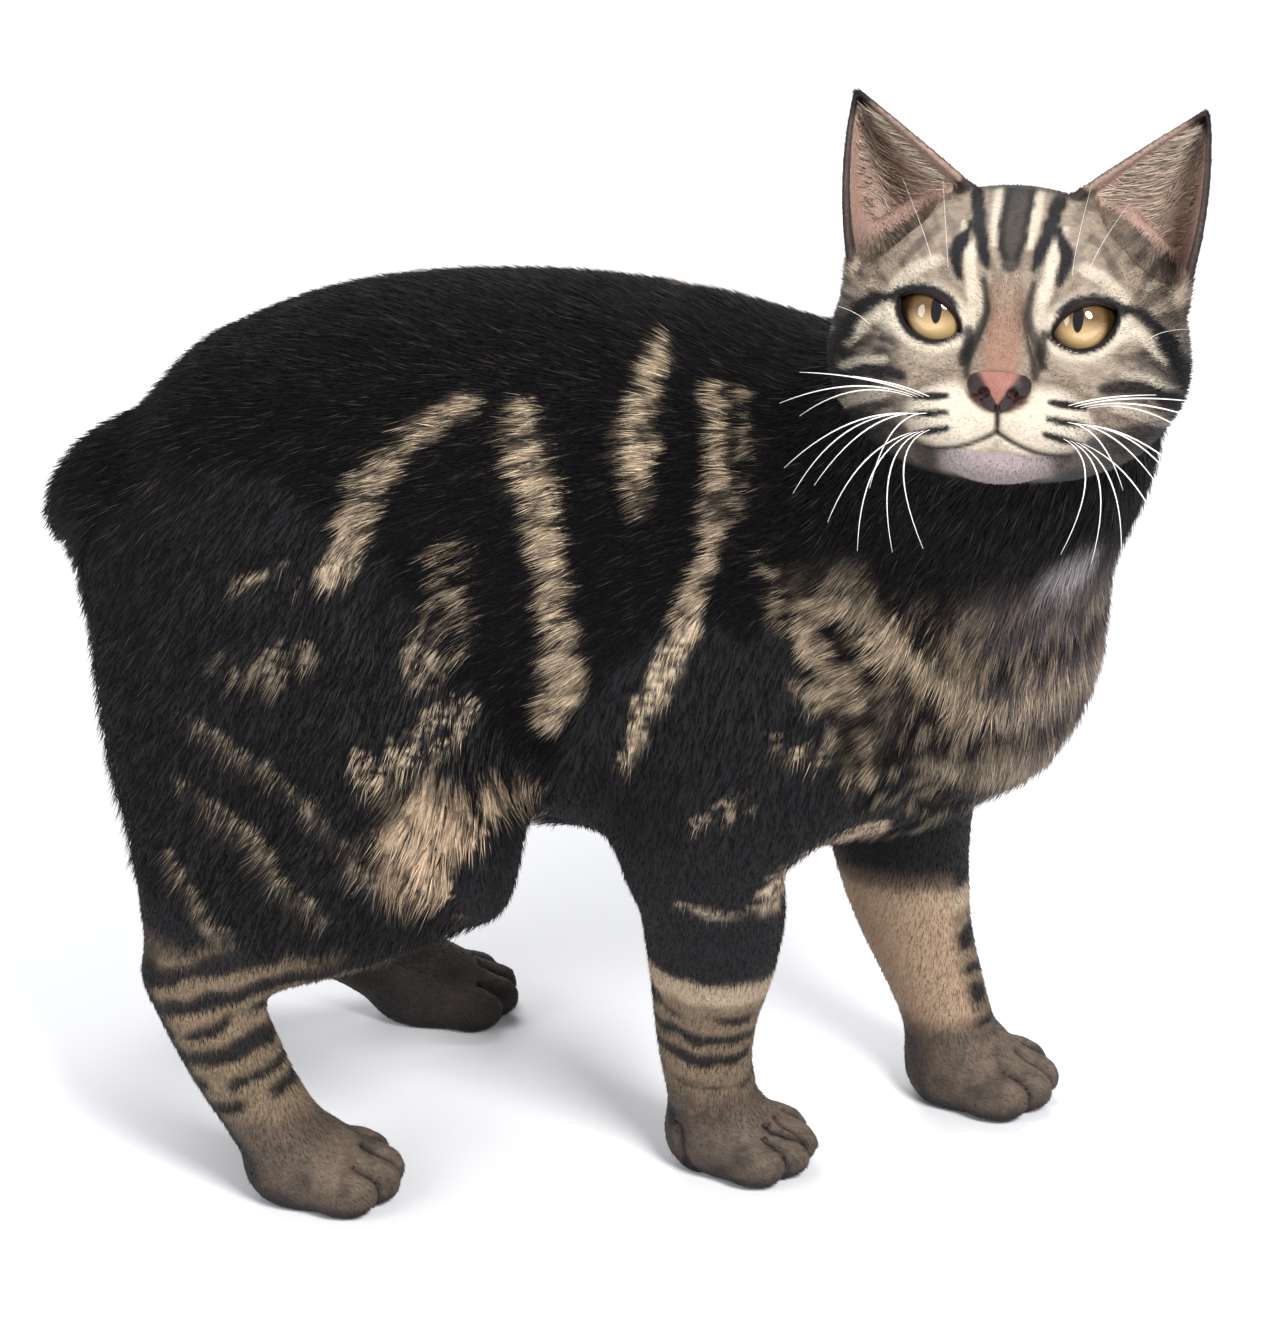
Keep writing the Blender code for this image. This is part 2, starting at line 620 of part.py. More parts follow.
def thin_out(made, triangles, keep=()):
    """Fewer triangles, spent where the surface bends most and within reach of the points to keep."""
    made.data.calc_loop_triangles()
    modifier = made.modifiers.new("thin_out", "DECIMATE")
    modifier.ratio = triangles / len(made.data.loop_triangles)
    modifier.use_collapse_triangulate = True
    if len(keep):
        places = np.zeros(len(made.data.vertices) * 3)
        made.data.vertices.foreach_get("co", places)
        places = places.reshape(-1, 3) / METRES
        fine = np.zeros(len(places), bool)
        for centre, reach in keep:
            fine |= np.linalg.norm(places - centre, axis=1) < reach
        group = made.vertex_groups.new(name="fine")
        group.add(np.flatnonzero(fine).tolist(), FINE_SHARE, "REPLACE")
        modifier.vertex_group = group.name
        modifier.invert_vertex_group = True
        modifier.vertex_group_factor = FINE_WEIGHT
    apply_modifiers(made)
    made.vertex_groups.clear()


def copy_of(made, name):
    copy = made.copy()
    copy.data = made.data.copy()
    copy.name = name
    bpy.context.scene.collection.objects.link(copy)
    return copy


def cut_by_plane(made, place, normal, keep_front):
    """Keeps one side of a plane, with GAP halved between the two sides, and closes the cut."""
    normal = Vector(normal).normalized()
    shift = normal * (GAP / 2 if keep_front else -GAP / 2)
    bm = bmesh.new()
    bm.from_mesh(made.data)
    cut = bmesh.ops.bisect_plane(
        bm, geom=[*bm.verts, *bm.edges, *bm.faces], dist=1e-7,
        plane_co=(Vector(place) + shift) * METRES, plane_no=normal,
        clear_inner=keep_front, clear_outer=not keep_front)
    edges = [g for g in cut["geom_cut"] if isinstance(g, bmesh.types.BMEdge)]
    bmesh.ops.holes_fill(bm, edges=edges, sides=0)
    bmesh.ops.triangulate(bm, faces=[f for f in bm.faces if len(f.verts) > 3])
    bm.to_mesh(made.data)
    bm.free()


def zone(name, outline, heading, middle, side, inner, grow):
    """A cutter for one leg: its side outline, carried from near the midline out past the leg."""
    direction = 1 if side == "left" else -1
    ahead = np.array(heading_vector(heading, FORWARD))
    left = np.array(heading_vector(heading, LEFT_SIDE))
    origin = np.array((*middle, 0.0))
    outline = np.array(outline, float)
    centre = outline.mean(0)
    spread = outline - centre
    outline = centre + spread * (1 + grow / np.linalg.norm(spread, axis=1, keepdims=True))
    inner_top, inner_floor = inner
    points = []
    for along, up in outline:
        depth = inner_floor + (inner_top - inner_floor) * up / CUT_TOP - grow
        points.append(origin + ahead * along + left * direction * depth + np.array((0, 0, up)))
    for along, up in outline:
        points.append(origin + ahead * along + left * direction * CUT_OUTER + np.array((0, 0, up)))
    n = len(outline)
    faces = [tuple(range(n)), tuple(reversed(range(n, 2 * n)))]
    faces += [(i, i + n, (i + 1) % n + n, (i + 1) % n) for i in range(n)]
    return cutter(name, points, faces)


def cutter(name, points, faces):
    made = new_object(name, points, faces)
    bm = bmesh.new()
    bm.from_mesh(made.data)
    bmesh.ops.recalc_face_normals(bm, faces=bm.faces)
    bm.to_mesh(made.data)
    bm.free()
    made.hide_render = True
    made.display_type = "WIRE"
    return made


def tilted_box(name, place, axes, half):
    corners = (CUBE * 2 - 1) * np.array(half, float)
    points = np.array(place) + corners @ axes.T
    faces = [(0, 1, 3, 2), (4, 6, 7, 5), (0, 4, 5, 1), (2, 3, 7, 6), (0, 2, 6, 4), (1, 5, 7, 3)]
    return cutter(name, points, faces)


def boolean(made, other, operation):
    modifier = made.modifiers.new(operation.lower(), "BOOLEAN")
    modifier.operation = operation
    modifier.solver = "EXACT"
    modifier.object = other
    apply_modifiers(made)


def keep_largest(made):
    """Drops every loose scrap but the largest closed surface."""
    bm = bmesh.new()
    bm.from_mesh(made.data)
    groups, seen = [], set()
    for start in bm.verts:
        if start in seen:
            continue
        seen.add(start)
        group, queue = [start], [start]
        while queue:
            for edge in queue.pop().link_edges:
                for vert in edge.verts:
                    if vert not in seen:
                        seen.add(vert)
                        group.append(vert)
                        queue.append(vert)
        groups.append(group)
    groups.sort(key=len)
    bmesh.ops.delete(bm, geom=[v for g in groups[:-1] for v in g], context="VERTS")
    bm.to_mesh(made.data)
    bm.free()


def part_off(source, name, small, large):
    """Cuts the piece inside the small cutter off as a new object, and the large cutter out of the source."""
    piece = copy_of(source, name)
    boolean(piece, small, "INTERSECT")
    keep_largest(piece)
    boolean(source, large, "DIFFERENCE")
    keep_largest(source)
    for used in (small, large):
        bpy.data.objects.remove(used)
    return piece


def split_by_plane(source, name, place, normal):
    """The front side of the plane becomes a new object, and the source keeps the rest."""
    piece = copy_of(source, name)
    cut_by_plane(piece, place, normal, True)
    keep_largest(piece)
    cut_by_plane(source, place, normal, False)
    keep_largest(source)
    return piece


def make_body():
    low, high = (-185, -150, -14), (190, 75, 330)
    body = new_object("torso", *closed_net(body_field, low, high, BODY_STEP))
    thin_out(body, BODY_FACES)
    cut_by_plane(body, (0, 0, FLOOR - GAP / 2), (0, 0, 1), True)
    cut_by_plane(body, *head_cut_in_world(), False)
    keep_largest(body)
    return body


def make_legs(body):
    pieces = {}
    plans = (("foreleg_", SHOULDER_OUTLINE, SHOULDER_HEADING, SHOULDER_POINT, SHOULDER_CUT_INNER),
             ("thigh_", HIP_OUTLINE, HIP_HEADING, HIP_POINT, HIP_CUT_INNER))
    for stem, outline, heading, middle, inner in plans:
        for side in SIDES:
            small = zone("small", outline, heading, middle, side, inner[side], -GAP / 2)
            large = zone("large", outline, heading, middle, side, inner[side], GAP / 2)
            pieces[stem + side] = part_off(body, stem + side, small, large)
    for side in SIDES:
        leg = pieces["foreleg_" + side]
        pieces["forepaw_" + side] = split_by_plane(leg, "forepaw_" + side, (0, 0, WRIST_HEIGHT), (0, 0, -1))
        shank = split_by_plane(pieces["thigh_" + side], "hock_" + side, HOCK_CUT[side], HOCK_CUT_NORMAL)
        pieces["hock_" + side] = shank
        pieces["hindpaw_" + side] = split_by_plane(shank, "hindpaw_" + side, (0, 0, WRIST_HEIGHT), (0, 0, -1))
    return pieces


def make_tail(body):
    place, normal = TAIL_CUT
    axes = np.array(Vector(normal).to_track_quat("X", "Z").to_matrix())
    length, half = TAIL_CUT_REACH
    boxes = []
    for name, gap in (("small", GAP / 2), ("large", -GAP / 2)):
        middle = np.array(place) + axes @ np.array((length + gap, 0, 0))
        boxes.append(tilted_box(name, middle, axes, (length, half - gap, half - gap)))
    return part_off(body, "tail", *boxes)


def make_head():
    low = (np.array(FACE_POINT) - (85, 60, 85)).tolist()
    high = (np.array(FACE_POINT) + (85, 110, 85)).tolist()
    made = new_object("head", *closed_net(head_field, low, high, HEAD_STEP))
    spots = [(side * EYE_SPACING / 2, 8, 0) for side in SIDES.values()] + [(0, 28, -19)]
    thin_out(made, HEAD_FACES, list(zip(head_to_world(spots), FINE_REACH)))
    cut_by_plane(made, *head_cut_in_world(), True)
    keep_largest(made)
    return made


def ear_boxes(side):
    """The two cutters for one ear, standing on the slope between the ear's edges."""
    direction = SIDES[side]
    foot = np.array(EAR_CUT_FOOT)
    inner, outer = np.array(EAR_INNER_EDGE[0]), np.array(EAR_OUTER_EDGE[0])
    across = outer - inner
    across[1] = 0
    across /= np.linalg.norm(across)
    ahead = np.array((0, 1, 0.0))
    up = np.cross(across, ahead)
    flip = np.diag((direction, 1, 1))
    axes = HEAD_TURN @ flip @ np.stack([across, ahead, up * np.sign(up[2])], 1)
    boxes = []
    half_across, half_deep, tall = EAR_CUT_REACH
    foot[0] += EAR_SWAY[side]
    for name, gap in (("small", GAP / 2), ("large", -GAP / 2)):
        middle = head_to_world([flip @ foot])[0] + axes[:, 2] * (tall / 2 + gap)
        boxes.append(tilted_box(name, middle, axes, (half_across - gap, half_deep - gap, tall / 2)))
    return boxes


def make_eye(side, head_object):
    centre = head_to_world([(SIDES[side] * EYE_SPACING / 2, 0, 0)])[0] * METRES
    for radius, name in ((EYEBALL_RADIUS + GAP, "socket"), (EYEBALL_RADIUS, "eye_" + side)):
        bpy.ops.mesh.primitive_uv_sphere_add(segments=16, ring_count=11, radius=radius * METRES, location=centre)
        made = bpy.context.object
        made.name = name
        made.data.transform(made.matrix_world)
        made.matrix_world = Matrix.Identity(4)
        if name == "socket":
            boolean(head_object, made, "DIFFERENCE")
            keep_largest(head_object)
            bpy.data.objects.remove(made)
    return made


def coat_material(name):
    material = bpy.data.materials.get(name)
    if material is None:
        material = bpy.data.materials.new(name)
        material.use_nodes = True
        shader = material.node_tree.nodes["Principled BSDF"]
        shader.inputs["Base Color"].default_value = (*COATS[name], 1)
        shader.inputs["Roughness"].default_value = 0.15 if name == "amber_eye" else 0.75
        shader.inputs["Metallic"].default_value = 0.0
    return material


def finish(pieces):
    """Sets each piece's material and shading, and centres the cat over the origin."""
    corners = np.array([v.co for made in pieces.values() for v in made.data.vertices])
    middle = (corners.min(0) + corners.max(0)) / 2
    shift = Matrix.Translation((-middle[0], -middle[1], -corners.min(0)[2]))
    for name, made in pieces.items():
        made.data.transform(shift)
        coat = "brown_coat"
        if name.startswith("eye"):
            coat = "amber_eye"
        elif name in ("torso", "tail") or name.startswith("thigh"):
            coat = "black_coat"
        made.data.materials.clear()
        made.data.materials.append(coat_material(coat))
        made.data.shade_smooth()
        made.data.set_sharp_from_angle(angle=math.radians(50))
    print("shift in mm", [round(v / METRES, 2) for v in shift.to_translation()])


def main():
    for old in list(bpy.data.objects):
        bpy.data.objects.remove(old)
    body = make_body()
    pieces = make_legs(body)
    pieces["tail"] = make_tail(body)
    pieces["neck"] = split_by_plane(body, "neck", *NECK_CUT)
    pieces["torso"] = body
    skull = make_head()
    for side in SIDES:
        pieces["ear_" + side] = part_off(skull, "ear_" + side, *ear_boxes(side))
        pieces["eye_" + side] = make_eye(side, skull)
    pieces["head"] = skull
    finish(pieces)
    bpy.context.view_layer.update()


main()
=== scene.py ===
"""Dresses the still Manx cat: one skin, its marked coat in tufts, the eyes, lids, nose and whiskers."""
import math

import bmesh
import bpy
import numpy as np
from bpy.props import FloatProperty, FloatVectorProperty, IntProperty, PointerProperty
from mathutils import Matrix, Vector
from mathutils.bvhtree import BVHTree
from mathutils.kdtree import KDTree


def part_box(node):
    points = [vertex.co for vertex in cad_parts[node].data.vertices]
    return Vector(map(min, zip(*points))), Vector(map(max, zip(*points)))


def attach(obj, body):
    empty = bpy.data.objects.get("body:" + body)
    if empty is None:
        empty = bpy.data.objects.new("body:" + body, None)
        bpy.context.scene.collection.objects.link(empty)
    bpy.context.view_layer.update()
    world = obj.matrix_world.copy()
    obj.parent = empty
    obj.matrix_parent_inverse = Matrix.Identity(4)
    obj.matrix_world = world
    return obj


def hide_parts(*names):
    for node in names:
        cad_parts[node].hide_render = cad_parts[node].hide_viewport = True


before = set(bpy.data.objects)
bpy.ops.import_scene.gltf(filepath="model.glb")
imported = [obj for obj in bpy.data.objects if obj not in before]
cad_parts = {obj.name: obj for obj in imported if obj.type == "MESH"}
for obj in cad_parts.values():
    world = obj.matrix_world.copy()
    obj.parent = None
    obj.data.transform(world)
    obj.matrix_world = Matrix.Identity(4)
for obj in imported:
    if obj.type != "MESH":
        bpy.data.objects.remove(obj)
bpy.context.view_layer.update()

bl_info = {
    "name": "Manx cat",
    "version": (1, 0, 0),
    "blender": (4, 5, 0),
    "location": "View3D > Sidebar > Manx cat",
    "description": "Makes the skin, marked coat, eyes, nose and whiskers of a standing Manx cat",
    "category": "Object",
}

METRES = 0.001
RIGHT, LEFT = 1, -1
SIDE_NAMES = {"right": RIGHT, "left": LEFT}
FLESH = [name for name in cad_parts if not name.startswith("eye_")]

# How the head is held: degrees from the body's length towards the left, then up, then over
FACE_HEADING = -78.5
FACE_PITCH = 20.0
FACE_ROLL = -1.3
# Where the point between the eyes is in the cat's own millimetres, which all the tables below use
FACE_POINT = np.array((134.0, -102.0, 301.0))


def eye_middle(side):
    """The middle of one eye's solid, in the frame's millimetres."""
    low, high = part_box("eye_" + side)
    return np.array((low + high) / 2) / METRES


EYE_SPACING = float(np.linalg.norm(eye_middle("right") - eye_middle("left")))
EYEBALL_RADIUS = float(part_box("eye_left")[1][2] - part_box("eye_left")[0][2]) / 2 / METRES
FRAME_SHIFT = (eye_middle("right") + eye_middle("left")) / 2 - FACE_POINT

# The head's masses in its own frame: centre across, forward, up, then radii and how softly it joins.
# Each but the middle ones has a twin.
HEAD_HALF_WIDTH = 48.0
HEAD_MASSES = (
    ((0, -26, 4.5), (40, 36, 30.5), 8),
    ((27, -24, 14), (17, 18, 16), 10),
    ((26, -16, -11), (HEAD_HALF_WIDTH - 26, 27, 24), 10),
    ((16, -3, -26), (21, 20, 14), 10),
    ((16, 0, 12), (14, 9.5, 10), 10),
    ((18, 2, -12), (13, 9, 8), 8),
    ((32, -8, 0), (10, 11, 12), 8),
    ((9, 6, -9), (10, 12, 13), 8),
    ((0, 13, -22), (15, 13, 11), 8),
    ((11.2, 17.5, -25.5), (14.2, 12.4, 9.2), 8),
    ((0, 0, -33), (25, 23, 10), 8),
    ((0, 15, -37), (12, 9, 6.2), 4),
)
# Bridge of the nose: across, forward, up, half width, half depth
BRIDGE = ((0, 1, 12, 14, 9), (0, 11.5, 2, 11, 8), (0, 19.5, -6, 9, 7), (0, 25.5, -13, 8, 5.5))
NOSE_MASSES = (((0, 27.4, -15.6), (7.0, 4.2, 3.6), 3.0), ((0, 28.0, -19), (4.4, 4.2, 4.4), 3.0),
               ((4.7, 26.8, -16.8), (3.0, 4.0, 2.6), 2.6))
NOSTRIL = ((3.6, 31.6, -18.4), (1.5, 3.2, 1.3))
# Grooves in the skin: across, up, depth, half width. How far forward each lies is read off the skin.
NOSTRIL_SLIT = ((4.6, -19.8, 2.6, 0.8), (7.0, -19.8, 2.2, 0.7), (8.8, -18.4, 1.4, 0.6))
PHILTRUM = ((0, -21.8, 1.6, 0.7), (0, -25, 1.8, 0.6), (0, -28.8, 2.2, 0.7))
MOUTH_LINE = ((0, -28.8, 2.4, 0.8), (5, -31.5, 2.5, 0.8), (10, -33.3, 2.4, 0.8), (15, -34.0, 1.6, 0.6),
              (18.5, -33.9, 0.7, 0.5))
SOCKET = ((EYE_SPACING / 2 + 0.5, 15.6, 0.5), (13.5, 7.0, 11), 7)
EAR_CANAL = ((33, -18, 21), (10.5, 11, 13), 6)
EAR_SWAY = {"right": -1.6, "left": 0.8}
LID_THICKNESS = 1.9
LID_TURN_OUT = 8.0
LID_TILT = 25.0
LID_HALF_LENGTH = 9.3
UPPER_LID_RISE = 5.1
LOWER_LID_DROP = 6.6
# Ear: the edges and the back of the cup, each as a three-point curve up to the tip
EAR_TIP = (46.5, -21.0, 56.5)
EAR_INNER_EDGE = ((13.0, -15, 31), (26, -14, 42))
EAR_OUTER_EDGE = ((43.0, -10, 6), (50.0, -14, 32))
EAR_BACK = ((34, -41, 14), (43, -39, 43))
EAR_HALF_THICKNESS = (1.15, 0.62)
EAR_SAMPLE_REACH = 0.9
EAR_TIP_BLUNT = 0.965
# How softly the head's parts join or are cut, and how far in front of the eye the lids' cut starts
BRIDGE_BLEND = 7.0
EAR_BLEND = 4.0
LID_BLEND = 8.0
GROOVE_BLEND = 0.8
NOSTRIL_BLEND = 0.8
LID_CUT_BLEND = 0.6
LID_CUT_STARTS = 2.0
# The nose leather is bare: its middle, and the distances between which the coat gets its depth
LEATHER_MIDDLE = (0, 29, -18)
LEATHER_TO_FUR = (7, 13)
BARE_SHARE = 0.3
# A distance past everything, and how far round a sweep or an ear its field is worked out
FAR = 60.0
SWEEP_MARGIN = 12.0
EAR_MARGIN = 8.0
# How many points are compared at once with a sweep and with an ear, which keeps the memory small
SWEEP_CHUNK = 20000
EAR_CHUNK = 4000

# Pale bars on a dark coat, seen from the side: how strong, then along, up and half width in
# millimetres. The far side has the same bars, a little shifted.
FLANK_BARS = (
    (1.0, ((-9, 243, 3.2), (-6, 235, 5), (0, 222, 5), (4, 207, 4.4), (7, 190, 4.4), (7, 172, 5),
           (2, 157, 3.6))),
    (0.9, ((25, 256, 2), (25, 250, 3), (24, 243, 3.6), (25, 235, 4.4), (28, 225, 2.8))),
    (0.95, ((43, 250, 2.2), (47, 242, 3.2), (49, 231, 3), (48, 216, 2.8), (44, 199, 3), (36, 182, 3.8),
            (29, 167, 2.8), (21, 146, 1.4))),
    (0.85, ((-25, 244, 2.6), (-35, 238, 3.4), (-44, 229, 3.2), (-49, 220, 4.2), (-53, 208, 4.6),
            (-60, 198, 3.6))),
    (0.4, ((-70, 196, 2.6), (-84, 193, 2.8))),
    (0.45, ((51, 250, 1.4), (55, 242, 1.8), (56, 231, 2), (55, 219, 1.2))),
    (0.42, ((-32, 174, 7), (-25, 188, 7.5), (-24, 206, 6))),
    (0.3, ((-66, 176, 5), (-80, 168, 5), (-92, 170, 3))),
    (0.6, ((-24, 160, 4), (-34, 150, 6), (-46, 146, 5))),
    (0.42, ((-98, 152, 1.2), (-70, 136, 1.5), (-42, 114, 1.8))),
    (0.42, ((-102, 134, 1.2), (-76, 116, 1.5), (-56, 101, 1.6))),
    (0.36, ((-104, 112, 1.2), (-92, 98, 1.4), (-80, 88, 1.4))),
    (0.5, ((66, 162, 2), (80, 158, 3), (95, 156, 2.4))),
    (0.4, ((66, 216, 2), (70, 202, 3), (80, 186, 4))),
    (1.0, ((62, 108, 3), (72, 115, 5.5), (86, 125, 5.5))),
    (0.6, ((36, 103, 0.9), (54, 101, 1.0), (68, 105, 1.4))),
    (0.5, ((44, 132, 2.4), (50, 137, 3), (58, 142, 2))),
)
# Necklaces, in the same way: dark ones go over pale ones
PALE_NECKLACES = (
    (0.85, ((98, 200, 2.2), (106, 190, 2.6), (116, 180, 3.4), (126, 173, 4), (140, 172, 4.4))),
    (0.55, ((108, 160, 3), (120, 154, 5), (132, 150, 6))),
)
DARK_NECKLACES = (
    (0.95, ((94, 220, 3), (99, 208, 3), (109, 197, 3.4), (124, 189, 3.4), (146, 188, 3.6))),
    (0.8, ((92, 186, 2.6), (104, 174, 3), (118, 164, 3), (134, 162, 3))),
)
WHITE_SPOT = (143.0, -59.0, 217.0)
WHITE_SPOT_RADIUS = 11.5
# Pale patches, seen from the side: middle, then half sizes
FOLD_PATCH = ((-22.0, 122.0), (22.0, 21.0))
SHOULDER_PATCH = ((86.0, 190.0), (19.0, 28.0))
# Paws: centre of the pad on the floor, heading and size, then where the gaps between the toes are
PAWS = {
    "forepaw_right": ((38, -37), 2.0, 0.94),
    "forepaw_left": ((94, 24), 2.0, 0.96),
    "hindpaw_right": ((-71, -92), 12.0, 0.97),
    "hindpaw_left": ((-75, 24), 22.0, 0.94),
}
TOE_GAPS = (-9.6, 0.0, 9.6)
TOE_GAP_STARTS = 12.0
TOE_GAP_DEPTH = 1.5
TOE_FAN = 0.012
TOE_TOP = (17, 20)
# Dark bars round the lower legs: height and half width
FORE_BARS = ((62, 3.0), (51.5, 1.8), (43.5, 2.5), (34.5, 1.5))
HIND_BARS = ((84, 3.6), (73, 2.8), (64, 1.9), (55, 2.9), (44.5, 1.9), (36, 2.3))
FORE_DARK_ABOVE = 77.0
HIND_DARK_ABOVE = 92.0
PAW_TOP = 28.0

# Dark marks of the face: how strong, then across, up and half width in the head's own frame
FACE_MARKS = (
    (1.0, ((10.8, 31, 2.0), (8.6, 22.5, 1.8), (7.3, 16.5, 1.6), (5.8, 13, 0.9))),
    (1.0, ((11.2, 23, 1.1), (14.1, 16.5, 1.9), (13, 10, 1.1))),
    (0.84, ((0, 35, 4.4), (0, 28, 3.9), (0, 21, 3.9), (0, 14.5, 2.6))),
    (0.9, ((2.9, 33, 0.9), (3.2, 27, 0.9), (2.8, 20, 0.9), (1.6, 15.5, 0.6))),
    (0.8, ((6.6, 9.5, 0.9), (5.4, 2, 1.0), (7.0, -4.5, 1.3), (8.8, -9.5, 1.7), (8.6, -14.5, 0.9))),
    (0.9, ((9.6, -3.5, 1.2), (9.4, -7, 1.6), (10.4, -11.5, 1.3))),
    (1.0, ((27.5, 4.8, 0.9), (34.5, 3, 1.5), (39.5, -1.6, 2), (43.7, -8.6, 2.3), (47, -15, 2.4))),
    (0.95, ((25.7, -16.4, 1.2), (31.8, -15.6, 1.9), (38, -17, 2.1), (47, -21, 2.6))),
    (0.6, ((35.4, -7, 0.9), (40, -10.2, 1.1), (44, -14, 1.2))),
    (0.6, ((24, -30, 1.2), (32, -28, 1.8), (42, -31, 2))),
    (0.45, ((20, 22, 1.2), (25, 17, 1.4), (28, 12, 1))),
    (0.9, ((0, 36, 2.2), (10, 35, 2), (16, 33, 2.2))),
)
# Pale strokes of the face, which lie under the dark ones
FACE_LIGHTS = (
    (0.75, ((5.4, 32, 1.2), (5.0, 25, 1.4), (4.6, 19, 0.8))),
    (0.85, ((13.2, 24, 0.6), (11.2, 18, 1.5), (10.2, 12, 1.5), (9.4, 6, 1.4))),
    (0.6, ((19, 14, 1.6), (25, 11, 1.8), (30, 7, 1.2))),
    (0.6, ((33, -1, 1.2), (37, -4, 1.5), (41, -9, 1.2))),
    (0.55, ((31, -12.5, 1.0), (37, -13.4, 1.3), (42, -15.5, 1.0))),
    (0.45, ((30, -21, 1.4), (37, -23, 1.6), (43, -26, 1.2))),
)
# The three rows that whiskers grow from: where each starts and ends on the face, across and up
WHISKER_ROWS = (((13.4, -20.2), (22, -21.2)), ((13.2, -24.4), (22.6, -25.6)), ((12.6, -28.4), (21.4, -30.6)))
WHISKERS_IN_ROW = 4
WHISKER_MARK = 1.05
# How far along its row the first whisker is
FIRST_WHISKER = 0.45

# How the coat lies on each part, before it is smoothed and laid along the skin
LIE = {
    "torso": (-0.9, 0.0, -0.42), "neck": (-0.5, 0.0, -0.85), "tail": (-0.75, -0.1, -0.65),
    "foreleg": (-0.12, 0.0, -1.0), "forepaw": (0.75, 0.0, -0.65),
    "thigh": (-0.32, 0.0, -0.95), "hock": (0.1, 0.0, -1.0), "hindpaw": (0.75, 0.0, -0.65),
}
# How long the coat is on each part, as a share of the flank's
LENGTH_SHARE = {
    "torso": 1.0, "neck": 1.05, "tail": 1.25, "foreleg": 0.42, "forepaw": 0.26, "thigh": 0.95,
    "hock": 0.40, "hindpaw": 0.26, "head": 0.5, "ear": 0.26,
}
# Pieces of the coat: which parts, which stretch of them, how many tufts
COAT_PIECES = (
    ("coat_face_right", ("head",), "face_right", 29000),
    ("coat_face_left", ("head",), "face_left", 29000),
    ("coat_crown", ("head",), "crown", 22000),
    ("coat_ear_right", ("ear_right",), "", 9000),
    ("coat_ear_left", ("ear_left",), "", 9000),
    ("coat_neck", ("neck",), "", 33000),
    ("coat_shoulder_right", ("torso",), "fore_right", 36000),
    ("coat_shoulder_left", ("torso",), "fore_left", 30000),
    ("coat_flank_right", ("torso",), "hind_right", 36000),
    ("coat_flank_left", ("torso",), "hind_left", 30000),
    ("coat_foreleg_right", ("foreleg_right", "forepaw_right"), "", 21000),
    ("coat_foreleg_left", ("foreleg_left", "forepaw_left"), "", 21000),
    ("coat_hindleg_right", ("thigh_right", "hock_right", "hindpaw_right"), "", 34000),
    ("coat_hindleg_left", ("thigh_left", "hock_left", "hindpaw_left"), "", 30000),
    ("coat_tail", ("tail",), "", 5000),
)
# Where the coat's pieces part: along and across the trunk, and how far forward on the head
TRUNK_MIDDLE = (10.0, -28.0)
FACE_STARTS = -13.0
# Size of one tuft's patch on its piece's map
BAKE_PATCH = 0.003

# Steps of the grids that the skin is read from, and the boxes that head and nose lie in
BODY_STEP = 1.6
HEAD_STEP = 0.85
HEAD_BOX = ((-66, -66, -54), (66, 38, 64))
NOSE_BOX = ((-13, 22, -28), (13, 36, -8))
NOSE_STEP = 0.34
NOSE_BACK = 24.6
# What the field is moved by, in turn, until its net is closed
NET_OFFSETS = (0, 0.03, -0.03, 0.06, -0.06, 0.09, -0.09, 0.12, -0.12)

# How far neighbouring nodes are grown into each other, and the body's skin drawn in under the head
NODE_OVERLAP = 0.35
HEAD_CORE_DEPTH = 4.5
# Rounds of smoothing: of the whole body, off the paws, of the paws' edge, of the coat's depth, lie
# and length
BODY_ROUNDS = 2
OFF_PAW_ROUNDS = 8
PAW_EDGE_ROUNDS = 3
DEPTH_ROUNDS = 12
LIE_ROUNDS = 40
LENGTH_ROUNDS = 25

# The coat's tufts: how far their roots sink in and their points stay over the floor
ROOT_SINK = 0.35
FLOOR_GAP = 0.1
# Painted shade and light in the coat: a tuft's root is darker where the coat shades it, its point is
# brighter than its own colour, and the skin under the tufts is darker
ROOT_SHADE = 0.5
TIP_PAINTED_LIGHT = 1.12
SKIN_SHADE = 0.8
# The sides of a tuft, and how far tufts are turned about their own length, in radians
TUFT_SIDES = ((0, 1), (1, 2), (2, 0))
TUFT_SPIN = 0.45
# Lengths between which a tuft grows from the face's width to the flank's
SHORT_AND_LONG = (2.5, 9.0)
# Share of the tufts that are a little paler
STRAY_PALE = 0.05
EAR_HAIRS = 800
EAR_HAIR_WIDTH = 0.3

# Shape of the specks that break up the bars. Faint bars have sparse ones, unless they are thin.
SPECK_SHAPE = (0.5, 0.6, 1.0)
FAINT_BAR = 0.6
THIN_BAR = 1.3
FAR_SIDE_SHIFT = (5.0, -3.0)
BAR_RAGGED = 4.5
NECKLACE_RAGGED = 3.0

# Where the coat is longer: the share added, then where that starts and is full
FOLD_LONGER = (0.45, 1.2, 0.5)
FOLD_REACH = (26, 30)
RUMP_LONGER = (0.2, -96, -122)
BELLY_LONGER = (0.25, -0.4, -0.8)
CHEST_LONGER = (0.25, 100, 124)
UPPER_LEG_LONGER = (1.1, 90, 150)
# Where it is shorter, on the muzzle and the forehead
MUZZLE_SHORTER = (0.3, 20, 10)
FOREHEAD_SHORTER = (0.55, 8, 24)
# Distances from the middle of the face between which the coat grows to its length on the neck
FACE_TO_NECK = (34, 66)
FACE_MIDDLE = (0, 14, -8)
MUZZLE_MIDDLE = (0, 26, -22)
NECK_SHARE = 0.75

# The legs: a pale cuff under the foreleg's dark part, as height and half widths, and tilts of the bars
CUFF = (70, 5.5, 2.5)
FORE_TILT = 0.1
HIND_TILT = -0.35
SOLE_TOP = 7.0

